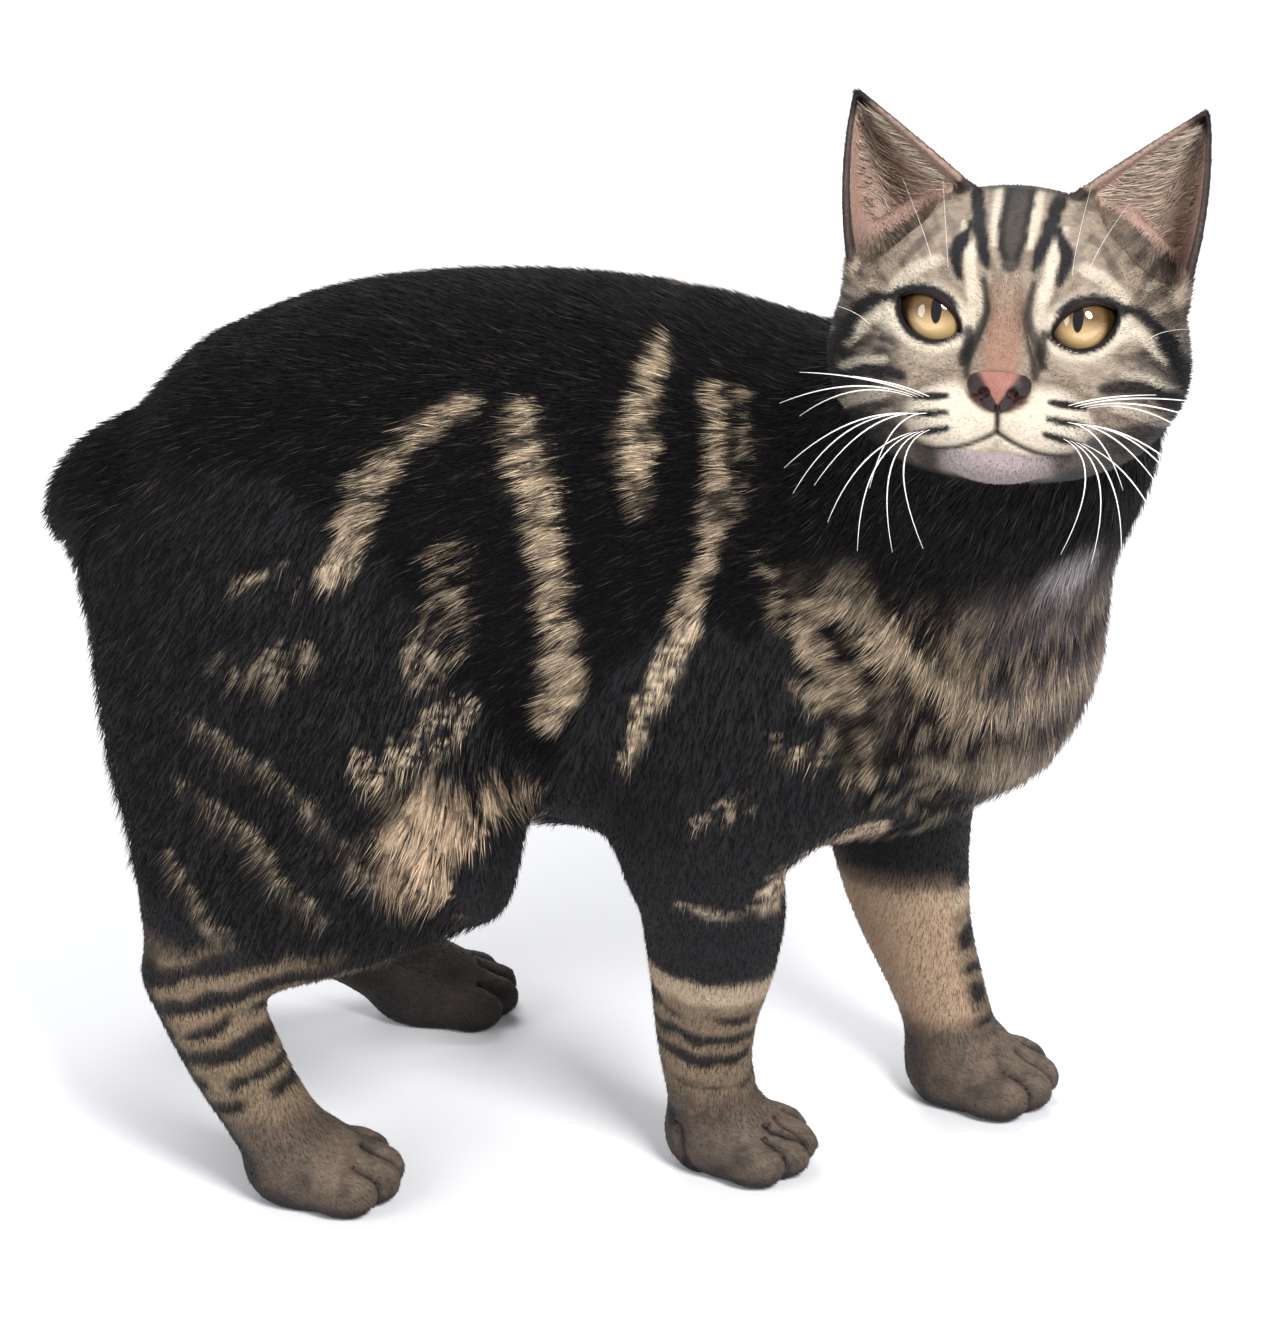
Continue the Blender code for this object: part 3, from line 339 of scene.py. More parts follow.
# The eyes' and the nose's own small sizes
NOSE_TIP = np.array((0, 33.0, -15.0))
NOSE_CENTRE = (0, 28.0, -18.0)
GAZE = (-0.04, 1.0, 0.03)
PUPIL_RISE = 0.12
LID_RIM_RISE = 1.35
LEATHER_RISE = 0.35
# The pink of the nose is a wedge: where its point is, and how fast it widens
WEDGE_POINT = -21.5
WEDGE_SLOPE = 0.74

# Where the whiskers of each row end: across, forward and up in the head's frame
WHISKER_ENDS = (
    ((40, 20, -17), (52, 12, -19), (58, 4, -24), (55, -2, -31)),
    ((31, 16, -45), (44, 12, -45), (56, 4, -43), (52, 0, -50)),
    ((17, 8, -60), (26, 8, -62), (35, 6, -62), (44, 2, -58)),
)
# Brow and cheek hairs: where the root is on the face, across and up, then the end
BROW_HAIRS = ((16, 11.5, (20, 10, 36)), (20, 12, (31, 9, 33)), (36, -4, (50, 0, 2)))

# Lights: metres to the camera's right, away from it and up, then size and power in watts
LIGHTS = (
    ("key", 0.7, -1.4, 1.5, 0.7, 58),
    ("fill", -1.4, -1.1, 0.9, 1.2, 18),
    ("top", -0.2, 0.5, 1.9, 1.2, 24),
    ("back", -0.5, 1.7, 1.1, 1.2, 16),
)
WORLD_COLOUR = (0.86, 0.88, 0.92, 1)
WORLD_LIGHT = 0.4
FLOOR_REACH = 4.0
SENSOR_WIDTH = 36
SEEN_TO = 50


def a_length(name, words, metres):
    return FloatProperty(name=name, description=words, default=metres, unit="LENGTH")


def an_angle(name, words, degrees):
    return FloatProperty(name=name, description=words, default=math.radians(degrees), subtype="ANGLE")


def a_colour(name, words, red, green, blue):
    return FloatVectorProperty(name=name, description=words, subtype="COLOR", size=3, min=0, max=1,
                               default=(red, green, blue))


class CoatSizes(bpy.types.PropertyGroup):
    """Sizes of the coat."""
    body_depth: a_length("Body coat depth", "How far the skin lies under the coat on the body", 0.0024)
    leg_depth: a_length("Leg coat depth", "How far the skin lies under the coat on the legs", 0.0013)
    paw_depth: a_length("Paw coat depth", "How far the skin lies under the coat on the paws", 0.0006)
    face_depth: a_length("Face coat depth", "How far the skin lies under the coat on the face", 0.0009)
    tuft_length: a_length("Tuft length", "Length of a tuft on the flank", 0.0070)
    tuft_width: a_length("Tuft width", "Width of a tuft at its root on the flank", 0.00052)
    face_length: a_length("Face tuft length", "Length of a tuft between the eyes", 0.0017)
    face_width: a_length("Face tuft width", "Width of a tuft on the face", 0.00036)
    lift: an_angle("Lift", "How far a tuft stands up at its root", 27)
    seed: IntProperty(name="Seed", description="Starts the coat's random draws", default=7)


class CoatColours(bpy.types.PropertyGroup):
    """Colours of the coat and skin."""
    black: a_colour("Black", "The dark of the tabby pattern", 0.0060, 0.0050, 0.0066)
    tan: a_colour("Tan", "The pale bars on the flanks", 0.92, 0.72, 0.50)
    fold: a_colour("Flank fold", "The pale hair where the flank meets the knee", 0.86, 0.63, 0.42)
    taupe: a_colour("Taupe", "The paws", 0.175, 0.128, 0.094)
    shin: a_colour("Shin", "The lower legs between their bars", 0.36, 0.26, 0.165)
    inner_leg: a_colour("Inner leg", "The pale inside of the forelegs", 0.60, 0.41, 0.27)
    face: a_colour("Face", "The ground of the face", 0.39, 0.305, 0.23)
    cream: a_colour("Cream", "Round the eyes and on the muzzle", 0.90, 0.78, 0.62)
    bridge: a_colour("Bridge", "The bridge of the nose", 0.36, 0.185, 0.125)
    chin: a_colour("Chin", "The chin and the throat under it", 0.44, 0.36, 0.36)
    ear_inside: a_colour("Inside of the ear", "The bare skin in the ear's cup", 0.70, 0.46, 0.37)
    ear_hair: a_colour("Ear hair", "The long pale hair in the ear", 0.86, 0.72, 0.58)
    white: a_colour("White", "The spot on the chest", 0.68, 0.62, 0.62)


class FaceSizes(bpy.types.PropertyGroup):
    """Sizes and colours of the eyes, nose and whiskers."""
    iris: a_length("Iris radius", "Radius of the coloured ring", 0.0079)
    pupil_width: a_length("Pupil width", "Width of the pupil", 0.0028)
    pupil_height: a_length("Pupil height", "Height of the pupil", 0.0074)
    cornea: a_length("Cornea rise", "How far the cornea stands off the ball", 0.0009)
    amber: a_colour("Amber", "The iris", 0.42, 0.285, 0.135)
    # The dark of the iris's rim, also used for the painted shadow of the lid over the iris's top
    iris_rim_and_lid_shadow: a_colour("Iris rim", "The dark rim and the shade at the top of the iris", 0.10, 0.055, 0.018)
    nose_pink: a_colour("Nose", "The middle of the nose leather", 0.27, 0.108, 0.080)
    nose_rim: a_colour("Nose rim", "The dark rim of the nose leather", 0.016, 0.009, 0.008)
    lid: a_colour("Lid rims", "The bare dark edge of the lids", 0.007, 0.005, 0.0045)
    whisker: a_colour("Whisker", "Whiskers and brow hairs", 0.85, 0.83, 0.79)
    whisker_radius: a_length("Whisker radius", "Radius of a whisker where it is thickest", 0.00021)


class StageSizes(bpy.types.PropertyGroup):
    """The camera and the floor."""
    floor_colour: a_colour("Floor", "The plain floor", 0.78, 0.78, 0.80)
    camera_heading: an_angle("Camera heading", "How far round the camera stands", 18)
    camera_distance: a_length("Camera distance", "Level distance from the cat", 1.7)
    camera_height: a_length("Camera height", "Height over the floor", 0.92)
    aim_height: a_length("Aim height", "Height of the point in the middle of the view", 0.14)
    lens: FloatProperty(name="Lens", description="Focal length", default=176.39, unit="CAMERA")


def turn(heading, pitch=0.0, roll=0.0):
    """Rotation whose columns are a part's own across, forward and up."""
    about = Matrix.Rotation(math.radians(heading - 90), 3, "Z")
    about = about @ Matrix.Rotation(math.radians(pitch), 3, "X")
    return np.array(about @ Matrix.Rotation(math.radians(roll), 3, "Y"))


HEAD_TURN = turn(FACE_HEADING, FACE_PITCH, FACE_ROLL)


def head_to_cat(points):
    return np.asarray(points, float) @ HEAD_TURN.T + FACE_POINT


def cat_to_head(points):
    return (np.asarray(points, float) - FACE_POINT) @ HEAD_TURN


def to_frame(points):
    """The cat's millimetres as the frame's metres."""
    return (np.asarray(points, float) + FRAME_SHIFT) * METRES


def to_cat(points):
    return np.asarray(points, float) / METRES - FRAME_SHIFT


def unit(vectors):
    return vectors / np.maximum(np.linalg.norm(vectors, axis=-1, keepdims=True), 1e-9)


def to_right(local):
    """The same places on the head's right side."""
    return np.abs(local) * (1, 0, 0) + local * (0, 1, 1)


def ramp(values, low, high):
    """A smooth step from 0 at low to 1 at high, which may be the other way round."""
    t = np.clip((values - low) / (high - low), 0, 1)
    return t * t * (3 - 2 * t)


def graded(values, change):
    """A change's share, from nothing where it starts to all of it where it is full."""
    share, start, full = change
    return share * ramp(values, start, full)


def spot(points, centre, radii, edge, core):
    """A soft spot: nothing at edge times its radii from the centre, full at core times them."""
    return ramp(np.linalg.norm((points - np.array(centre)) / radii, axis=1), edge, core)


def grain(points, size, seed):
    """Smooth random numbers from 0 to 1, the same at the same place, with features of this size."""
    at = points / size
    corner = np.floor(at).astype(np.int64)
    part = at - corner
    part = part * part * (3 - 2 * part)
    total = np.zeros(len(at))
    for step in np.ndindex(2, 2, 2):
        cell = corner + step
        drawn = cell[:, 0] * 73856093 ^ cell[:, 1] * 19349663 ^ cell[:, 2] * 83492791 ^ seed * 2654435761
        drawn = (drawn ^ (drawn >> 13)) * 1274126177 & 0x7FFFFFFF
        value = (drawn ^ (drawn >> 16)) % 65536 / 65535.0
        total += value * np.prod(np.where(step, part, 1 - part), axis=1)
    return total


def blend(a, b, width):
    """The union of two fields, rounded over the given width."""
    h = np.clip(0.5 + 0.5 * (b - a) / width, 0, 1)
    return b + (a - b) * h - width * h * (1 - h)


def carve(a, b, width):
    """Field a with b cut out of it."""
    return -blend(-a, b, width)


def radial(offsets, radii):
    """Signed distance, near enough, from an ellipsoid with these radii."""
    scaled = offsets / radii
    near = np.sqrt((scaled ** 2).sum(1)) + 1e-9
    slope = np.sqrt(((scaled / radii) ** 2).sum(1)) + 1e-9
    return near * (near - 1) / slope


def ellipsoid(points, centre, radii):
    return radial(points - np.array(centre, float), np.array(radii, float))


def smooth_rows(rows, per_span=10):
    """Rows read from a Catmull-Rom curve through the given rows."""
    rows = np.array(rows, float)
    ends = np.vstack([2 * rows[0] - rows[1], rows, 2 * rows[-1] - rows[-2]])
    t = np.linspace(0, 1, per_span, endpoint=False)[:, None]
    made = []
    for p0, p1, p2, p3 in zip(ends, ends[1:], ends[2:], ends[3:]):
        made.append(0.5 * (2 * p1 + (p2 - p0) * t + (2 * p0 - 5 * p1 + 4 * p2 - p3) * t ** 2
                           + (3 * p1 - p0 - 3 * p2 + p3) * t ** 3))
    return np.vstack([*made, rows[-1:]])


def sweep(points, rows, across, cap=0.8):
    """Field of an ellipse swept through rows of x, y, z, half width and half depth."""
    rows = smooth_rows(rows)
    centres, girths = rows[:, :3], rows[:, 3:]
    along = np.gradient(centres, axis=0)
    spacing = np.linalg.norm(along, axis=1, keepdims=True)
    along = along / spacing
    side = unit(np.array(across, float) - (along @ np.array(across, float))[:, None] * along)
    rise = np.cross(along, side)
    field = np.full(len(points), FAR)
    reach = SWEEP_MARGIN + girths.max()
    close = ((points > centres.min(0) - reach) & (points < centres.max(0) + reach)).all(1)
    for chunk in np.array_split(np.flatnonzero(close), max(1, close.sum() // SWEEP_CHUNK)):
        at = points[chunk]
        span = (at ** 2).sum(1)[:, None] - 2 * at @ centres.T + (centres ** 2).sum(1)
        nearest = span.argmin(1)
        offset = at - centres[nearest]
        travel = (offset * along[nearest]).sum(1)
        place = np.clip(nearest + travel / spacing[nearest, 0], 0, len(rows) - 1)
        low = np.minimum(place.astype(int), len(rows) - 2)
        part = (place - low)[:, None]
        girth = girths[low] * (1 - part) + girths[low + 1] * part
        sideways = (offset * side[nearest]).sum(1)
        up = (offset * rise[nearest]).sum(1)
        inside = (place > 0) & (place < len(rows) - 1)
        beyond = np.where(inside, 0.0, travel)
        radii = np.stack([girth[:, 0], girth[:, 1], cap * girth.min(1)], 1)
        field[chunk] = radial(np.stack([sideways, up, beyond], 1), radii)
    return field


def ear_sheet(across=60, up=60):
    """Points over one ear's middle surface, its normals, and how far up the ear each lies."""
    tip = np.array(EAR_TIP)
    t = np.linspace(0, EAR_TIP_BLUNT, up)[:, None, None]
    s = np.linspace(0, 1, across)[None, :, None]

    def edge(start, middle):
        return (1 - t) ** 2 * np.array(start) + 2 * t * (1 - t) * np.array(middle) + t ** 2 * tip

    inner, outer, back = edge(*EAR_INNER_EDGE), edge(*EAR_OUTER_EDGE), edge(*EAR_BACK)
    control = 2 * back - (inner + outer) / 2
    sheet = (1 - s) ** 2 * inner + 2 * s * (1 - s) * control + s ** 2 * outer
    normals = np.cross(np.gradient(sheet, axis=0), np.gradient(sheet, axis=1))
    normals[-1] = normals[-2]
    return sheet, unit(normals), np.broadcast_to(t, (up, across, 1))[..., 0]


def ear(local):
    """Field of both ears in the head's frame."""
    sheet, normals, height = (part.reshape(-1, *part.shape[2:]) for part in ear_sheet())
    field = np.full(len(local), FAR)
    low, high = sheet.min(0) - EAR_MARGIN, sheet.max(0) + EAR_MARGIN
    for name, side in SIDE_NAMES.items():
        at = local * (side, 1, 1) - (EAR_SWAY[name], 0, 0)
        close = np.flatnonzero(((at > low) & (at < high)).all(1))
        for chunk in np.array_split(close, max(1, len(close) // EAR_CHUNK)):
            here = at[chunk]
            span = (here ** 2).sum(1)[:, None] - 2 * here @ sheet.T + (sheet ** 2).sum(1)
            nearest = span.argmin(1)
            offset = here - sheet[nearest]
            off_sheet = (offset * normals[nearest]).sum(1)
            past_edge = np.sqrt(np.maximum((offset ** 2).sum(1) - off_sheet ** 2, 0)) - EAR_SAMPLE_REACH
            thick = np.interp(height[nearest], (0, 1), EAR_HALF_THICKNESS)
            field[chunk] = np.minimum(field[chunk], np.hypot(off_sheet, np.maximum(past_edge, 0)) - thick)
    return field


def eye_axes(side):
    """Across, up and forward for one eye's lids, in the head's frame."""
    out = math.radians(LID_TURN_OUT) * side
    tilt = math.radians(LID_TILT)
    forward = np.array((math.sin(out), math.cos(out), 0))
    level = np.array((math.cos(out), -math.sin(out), 0)) * side
    up = np.array((0, 0, 1.0))
    outward = level * math.cos(tilt) + up * math.sin(tilt)
    return outward, up * math.cos(tilt) - level * math.sin(tilt), forward


def eye_plane(local, side):
    """Across and up in the plane of one eye's lids, and forward from its centre."""
    offset = local - np.array((side * EYE_SPACING / 2, 0, 0))
    return [offset @ axis for axis in eye_axes(side)]


def lid_edge(local, side):
    """Distance outside the lids' edge, as seen in the eye's own plane."""
    sideways, up, ahead = eye_plane(local, side)
    length = LID_HALF_LENGTH ** 2
    high = (length + UPPER_LID_RISE ** 2) / (2 * UPPER_LID_RISE)
    low = (length + LOWER_LID_DROP ** 2) / (2 * LOWER_LID_DROP)
    top = np.hypot(sideways, up - (UPPER_LID_RISE - high)) - high
    bottom = np.hypot(sideways, up - (low - LOWER_LID_DROP)) - low
    return np.maximum(top, bottom), ahead


def lids_edge(local):
    """Distance outside the edge of the nearer eye's lids."""
    return np.minimum(*[lid_edge(local, side)[0] for side in SIDE_NAMES.values()])


def skull(folded):
    """Field of the head's masses, nose and eye hollows, for points folded over to the right side."""
    centre, radii, _ = HEAD_MASSES[0]
    field = ellipsoid(folded, centre, radii)
    for centre, radii, width in HEAD_MASSES[1:]:
        field = blend(field, ellipsoid(folded, centre, radii), width)
    field = blend(field, sweep(folded, BRIDGE, (1, 0, 0)), BRIDGE_BLEND)
    for centre, radii, width in NOSE_MASSES:
        field = blend(field, ellipsoid(folded, centre, radii), width)
    field = carve(field, ellipsoid(folded, *EAR_CANAL[:2]), EAR_CANAL[2])
    return carve(field, ellipsoid(folded, *SOCKET[:2]), SOCKET[2])


def groove_rows(groove):
    """Sweep rows for a groove, each set where the skin is at that place on the face."""
    ahead = np.arange(45.0, 0.0, -0.1)
    rows = []
    for across, up, depth, half_width in groove:
        line = np.stack([np.full(len(ahead), across), ahead, np.full(len(ahead), up)], 1)
        rows.append((across, ahead[np.argmax(skull(line) < 0)], up, depth, half_width))
    return rows


def head_field(depth):
    """The field of the head without its coat, in the head's own frame."""
    grooves = [groove_rows(groove) for groove in (NOSTRIL_SLIT, PHILTRUM, MOUTH_LINE)]

    def field_of(local):
        folded = to_right(local)
        furred = ramp(np.linalg.norm(folded - LEATHER_MIDDLE, axis=1), *LEATHER_TO_FUR)
        field = skull(folded) + depth * (BARE_SHARE + (1 - BARE_SHARE) * furred)
        field = blend(field, ear(local), EAR_BLEND)
        lids = (EYEBALL_RADIUS + LID_THICKNESS,) * 3
        field = blend(field, ellipsoid(folded, (EYE_SPACING / 2, 0, 0), lids) + depth * 0.4, LID_BLEND)
        for side in SIDE_NAMES.values():
            edge, ahead = lid_edge(local, side)
            field = carve(field, np.maximum(edge, LID_CUT_STARTS - ahead), LID_CUT_BLEND)
        field = carve(field, ellipsoid(folded, *NOSTRIL), NOSTRIL_BLEND)
        for rows in grooves:
            field = carve(field, sweep(folded, rows, (0, 1, 0)), GROOVE_BLEND)
        return field

    return field_of


def sampled(field, low, high, step, coarse=4):
    """The field on a grid. Far from the surface it is read from a grid that is coarse times wider."""
    counts = np.ceil((np.array(high) - low) / (step * coarse)).astype(int) + 1
    axes = [low[i] + np.arange(counts[i]) * step * coarse for i in range(3)]
    wide = field(np.stack(np.meshgrid(*axes, indexing="ij"), -1).reshape(-1, 3)).reshape(counts)
    near = np.abs(wide) < step * coarse * 1.9
    grown = near.copy()
    for axis in range(3):
        grown |= np.roll(near, 1, axis)
    values = wide.repeat(coarse, 0).repeat(coarse, 1).repeat(coarse, 2)
    near = grown.repeat(coarse, 0).repeat(coarse, 1).repeat(coarse, 2)
    values[near] = field(np.array(low) + np.argwhere(near) * step)
    return values


CUBE = np.array([(i, j, k) for i in (0, 1) for j in (0, 1) for k in (0, 1)])
CUBE_EDGES = [(a, b) for a in range(8) for b in range(a + 1, 8) if np.abs(CUBE[a] - CUBE[b]).sum() == 1]


def sheet_table():
    """For each pattern of corners inside: which sheet of the surface crosses each of a cell's
    edges, and how many sheets there are. One vertex for each sheet keeps the net closed."""
    sheets = np.full((256, 12), -1)
    counts = np.zeros(256, int)
    sides = [set(np.flatnonzero(CUBE[:, axis] == end)) for axis in range(3) for end in (0, 1)]
    for case in range(256):
        inside = [case >> corner & 1 for corner in range(8)]
        crossed = [e for e, (a, b) in enumerate(CUBE_EDGES) if inside[a] != inside[b]]
        links = {e: set() for e in crossed}
        for side in sides:
            on_side = [e for e in crossed if side.issuperset(CUBE_EDGES[e])]
            groups = [on_side]
            if len(on_side) == 4:
                groups = [[e for e in on_side if corner in CUBE_EDGES[e]]
                          for corner in side if inside[corner]]
            for group in groups:
                for e in group:
                    links[e].update(group)
        for start in crossed:
            if sheets[case, start] < 0:
                queue = [start]
                while queue:
                    e = queue.pop()
                    sheets[case, e] = counts[case]
                    queue += [other for other in links[e] if sheets[case, other] < 0]
                counts[case] += 1
    return sheets, counts


def surface_net(values, low, step):
    """Points and four-sided faces of the surface where the sampled field is zero."""
    sheets, counts = sheet_table()
    inside = values < 0
    case = np.zeros(np.array(values.shape) - 1, int)
    nx, ny, nz = case.shape
    for number, (i, j, k) in enumerate(CUBE):
        case += inside[i:i + nx, j:j + ny, k:k + nz].astype(int) << number
    active = np.argwhere((case > 0) & (case < 255))
    kind = case[tuple(active.T)]
    corner = np.stack([values[tuple((active + c).T)] for c in CUBE], 1)
    first = np.cumsum(counts[kind]) - counts[kind]
    total = np.zeros((counts[kind].sum(), 3))
    crossings = np.zeros(len(total))
    for edge, (a, b) in enumerate(CUBE_EDGES):
        crossed = np.flatnonzero(sheets[kind, edge] >= 0)
        part = corner[crossed, a] / (corner[crossed, a] - corner[crossed, b])
        place = active[crossed] + CUBE[a] + part[:, None] * (CUBE[b] - CUBE[a])
        vertex = first[crossed] + sheets[kind[crossed], edge]
        np.add.at(total, vertex, place)
        np.add.at(crossings, vertex, 1)
    points = np.array(low) + total / crossings[:, None] * step
    start = np.full(case.shape, -1)
    start[tuple(active.T)] = first
    faces = []
    for axis in range(3):
        here = np.take(inside, range(values.shape[axis] - 1), axis)
        there = np.take(inside, range(1, values.shape[axis]), axis)
        b, c = (axis + 1) % 3, (axis + 2) % 3
        for begins, flipped in ((here & ~there, False), (there & ~here, True)):
            edge = np.argwhere(begins)
            edge = edge[(edge[:, b] > 0) & (edge[:, c] > 0)]
            loop = []
            for back_b, back_c in ((1, 1), (0, 1), (0, 0), (1, 0)):
                cell = edge.copy()
                cell[:, b] -= back_b
                cell[:, c] -= back_c
                near, far = np.zeros(3, int), np.zeros(3, int)
                near[[b, c]] = back_b, back_c
                far[:] = near
                far[axis] = 1
                ends = sorted(int(np.flatnonzero((CUBE == end).all(1))[0]) for end in (near, far))
                at = tuple(cell.T)
                loop.append(start[at] + sheets[case[at], CUBE_EDGES.index(tuple(ends))])
            quads = np.stack(loop, 1)
            faces.append(quads[:, ::-1] if flipped else quads)
    return points, np.vstack(faces)


def closed_net(field, low, high, step):
    """The surface net of a field, moved by a hair where its sheets would share an edge."""
    values = sampled(field, low, high, step)
    for offset in NET_OFFSETS:
        points, faces = surface_net(values + offset, low, step)
        edges = np.sort(np.vstack([faces[:, [i, (i + 1) % 4]] for i in range(4)]), axis=1)
        if np.unique(edges, axis=0, return_counts=True)[1].max() == 2:
            return points, faces
    raise RuntimeError("no closed net at any offset")


def add_object(name, data):
    """A new object in the scene for this mesh, lamp or camera."""
    made = bpy.data.objects.new(name, data)
    bpy.context.scene.collection.objects.link(made)
    return made


def mesh_object(name, points, faces, smooth=True):
    """A new object from points in the frame's metres and faces that all have as many corners."""
    faces = np.asarray(faces)
    mesh = bpy.data.meshes.new(name)
    mesh.vertices.add(len(points))
    mesh.vertices.foreach_set("co", np.asarray(points, np.float32).ravel())
    mesh.loops.add(faces.size)
    mesh.loops.foreach_set("vertex_index", faces.astype(np.int32).ravel())
    mesh.polygons.add(len(faces))
    mesh.polygons.foreach_set("loop_start", np.arange(0, faces.size, faces.shape[1], dtype=np.int32))
    mesh.update(calc_edges=True)
    mesh.validate()
    if smooth:
        mesh.shade_smooth()
    return add_object(name, mesh)


def numbers(collection, name, width):
    found = np.zeros(len(collection) * width)
    collection.foreach_get(name, found)
    return found.reshape(-1, width) if width > 1 else found


def store(mesh, name, kind, values):
    """Keeps one value for each point of the mesh under this name."""
    attribute = mesh.attributes.new(name, kind, "POINT")
    key = {"FLOAT_COLOR": "color", "FLOAT_VECTOR": "vector"}.get(kind, "value")
    if kind == "FLOAT_COLOR":
        values = np.column_stack([values, np.ones(len(values))])
    attribute.data.foreach_set(key, np.asarray(values, np.float32).ravel())


def apply_modifiers(made):
    graph = bpy.context.evaluated_depsgraph_get()
    mesh = bpy.data.meshes.new_from_object(made.evaluated_get(graph))
    made.modifiers.clear()
    made.data = mesh


def smoothed(values, edges, count, rounds, share=0.5):
    """Values on points, each moved towards the mean of its neighbours."""
    ends = np.concatenate([edges[:, 0], edges[:, 1]])
    others = np.concatenate([edges[:, 1], edges[:, 0]])
    met = np.maximum(np.bincount(ends, minlength=count), 1)
    for _ in range(rounds):
        means = [np.bincount(ends, column[others], count) / met for column in values.T]
        values = values + share * (np.stack(means, 1) - values)
    return values


def edges_of(mesh):
    found = np.zeros(len(mesh.edges) * 2, np.int32)
    mesh.edges.foreach_get("vertices", found)
    return found.reshape(-1, 2)


def move_points(mesh, points):
    mesh.vertices.foreach_set("co", points.astype(np.float32).ravel())
    mesh.update()


def nearest_finder(points):
    """A finder of the number of the nearest of these points to each of many places."""
    tree = KDTree(len(points))
    for number, point in enumerate(points):
        tree.insert(point, number)
    tree.balance()
    return lambda places: np.array([tree.find(place)[1] for place in places], int)


def node_points(names):
    """The points of these CAD nodes in the cat's millimetres, and the node each belongs to."""
    points, owners = [], []
    for name in names:
        found = numbers(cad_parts[name].data.vertices, "co", 3)
        points.append(to_cat(found))
        owners += [name] * len(found)
    return np.vstack(points), np.array(owners)


def node_finder(names):
    """A finder of the nearest of these nodes."""
    points, owners = node_points(names)
    nearest = nearest_finder(points)
    return lambda places: owners[nearest(places)]


def kind_of(region):
    return region.split("_")[0]


def body_core(sizes):
    """The flesh nodes without the ears as one closed surface, drawn in by the coat's depth."""
    bm = bmesh.new()
    for name in FLESH:
        if kind_of(name) != "ear":
            bm.from_mesh(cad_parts[name].data)
    bm.normal_update()
    for vertex in bm.verts:
        vertex.co += vertex.normal * NODE_OVERLAP * METRES
    mesh = bpy.data.meshes.new("skin")
    bm.to_mesh(mesh)
    bm.free()
    made = add_object("skin", mesh)
    modifier = made.modifiers.new("remesh", "REMESH")
    modifier.mode = "VOXEL"
    modifier.voxel_size = BODY_STEP * METRES
    apply_modifiers(made)
    keep_largest(made)
    mesh = made.data
    count = len(mesh.vertices)
    edges = edges_of(mesh)
    points = smoothed(numbers(mesh.vertices, "co", 3), edges, count, BODY_ROUNDS)
    regions = node_finder(FLESH)(to_cat(points))
    on_paw = np.array([region.find("paw") > 0 for region in regions], float)
    on_paw = smoothed(on_paw[:, None], edges, count, PAW_EDGE_ROUNDS)
    points = smoothed(points, edges, count, OFF_PAW_ROUNDS) * (1 - on_paw) + points * on_paw
    move_points(mesh, points)
    depths = {"head": HEAD_CORE_DEPTH * METRES, "ear": HEAD_CORE_DEPTH * METRES, "forepaw": sizes.paw_depth,
              "hindpaw": sizes.paw_depth, "foreleg": sizes.leg_depth, "hock": sizes.leg_depth}
    depth = np.array([depths.get(kind_of(region), sizes.body_depth) for region in regions])
    depth = smoothed(depth[:, None], edges, count, DEPTH_ROUNDS)
    points = smoothed(points - numbers(mesh.vertices, "normal", 3) * depth, edges, count, 1)
    gaps = toe_gaps(to_cat(points))[:, None] * TOE_GAP_DEPTH * METRES
    points = points - numbers(mesh.vertices, "normal", 3) * gaps
    move_points(mesh, points)
    return made


def keep_largest(made):
    """Leaves only the largest connected surface."""
    bm = bmesh.new()
    bm.from_mesh(made.data)
    left = set(bm.verts)
    groups = []
    while left:
        group = {left.pop()}
        edge = list(group)
        while edge:
            here = edge.pop()
            for link in here.link_edges:
                other = link.other_vert(here)
                if other in left:
                    left.discard(other)
                    group.add(other)
                    edge.append(other)
        groups.append(group)
    groups.sort(key=len)
    for group in groups[:-1]:
        bmesh.ops.delete(bm, geom=list(group), context="VERTS")
    bm.to_mesh(made.data)
    bm.free()


def make_skin(sizes):
    """One skin from the nose to the tail."""
    core = body_core(sizes)
    field = head_field(sizes.face_depth / METRES)
    points, faces = closed_net(field, *HEAD_BOX, HEAD_STEP)
    head = mesh_object("head_skin", to_frame(head_to_cat(points)), faces)
    union = core.modifiers.new("union", "BOOLEAN")
    union.operation = "UNION"
    union.solver = "MANIFOLD"
    union.object = head
    apply_modifiers(core)
    bpy.data.objects.remove(head)
    keep_largest(core)
    return core


def lie_of(points, normals, regions):
    """Which way the coat lies at each point of the skin."""
    kinds = np.array([kind_of(region) for region in regions])
    lie = np.zeros_like(points)
    for kind, direction in LIE.items():
        lie[kinds == kind] = direction
    torso = kinds == "torso"
    lie[torso & (np.abs(normals[:, 2]) > 0.7)] = (-1, 0, -0.1)
    lie[torso & (points[:, 0] > 98)] = (-0.25, 0, -1)
    local = cat_to_head(points)
    away = local - NOSE_TIP
    lie[kinds == "head"] = (away @ HEAD_TURN.T)[kinds == "head"]
    for name, side in SIDE_NAMES.items():
        tip = np.array(EAR_TIP) * (side, 1, 1)
        lie[regions == "ear_" + name] = ((tip - local) @ HEAD_TURN.T)[regions == "ear_" + name]
    return unit(lie)


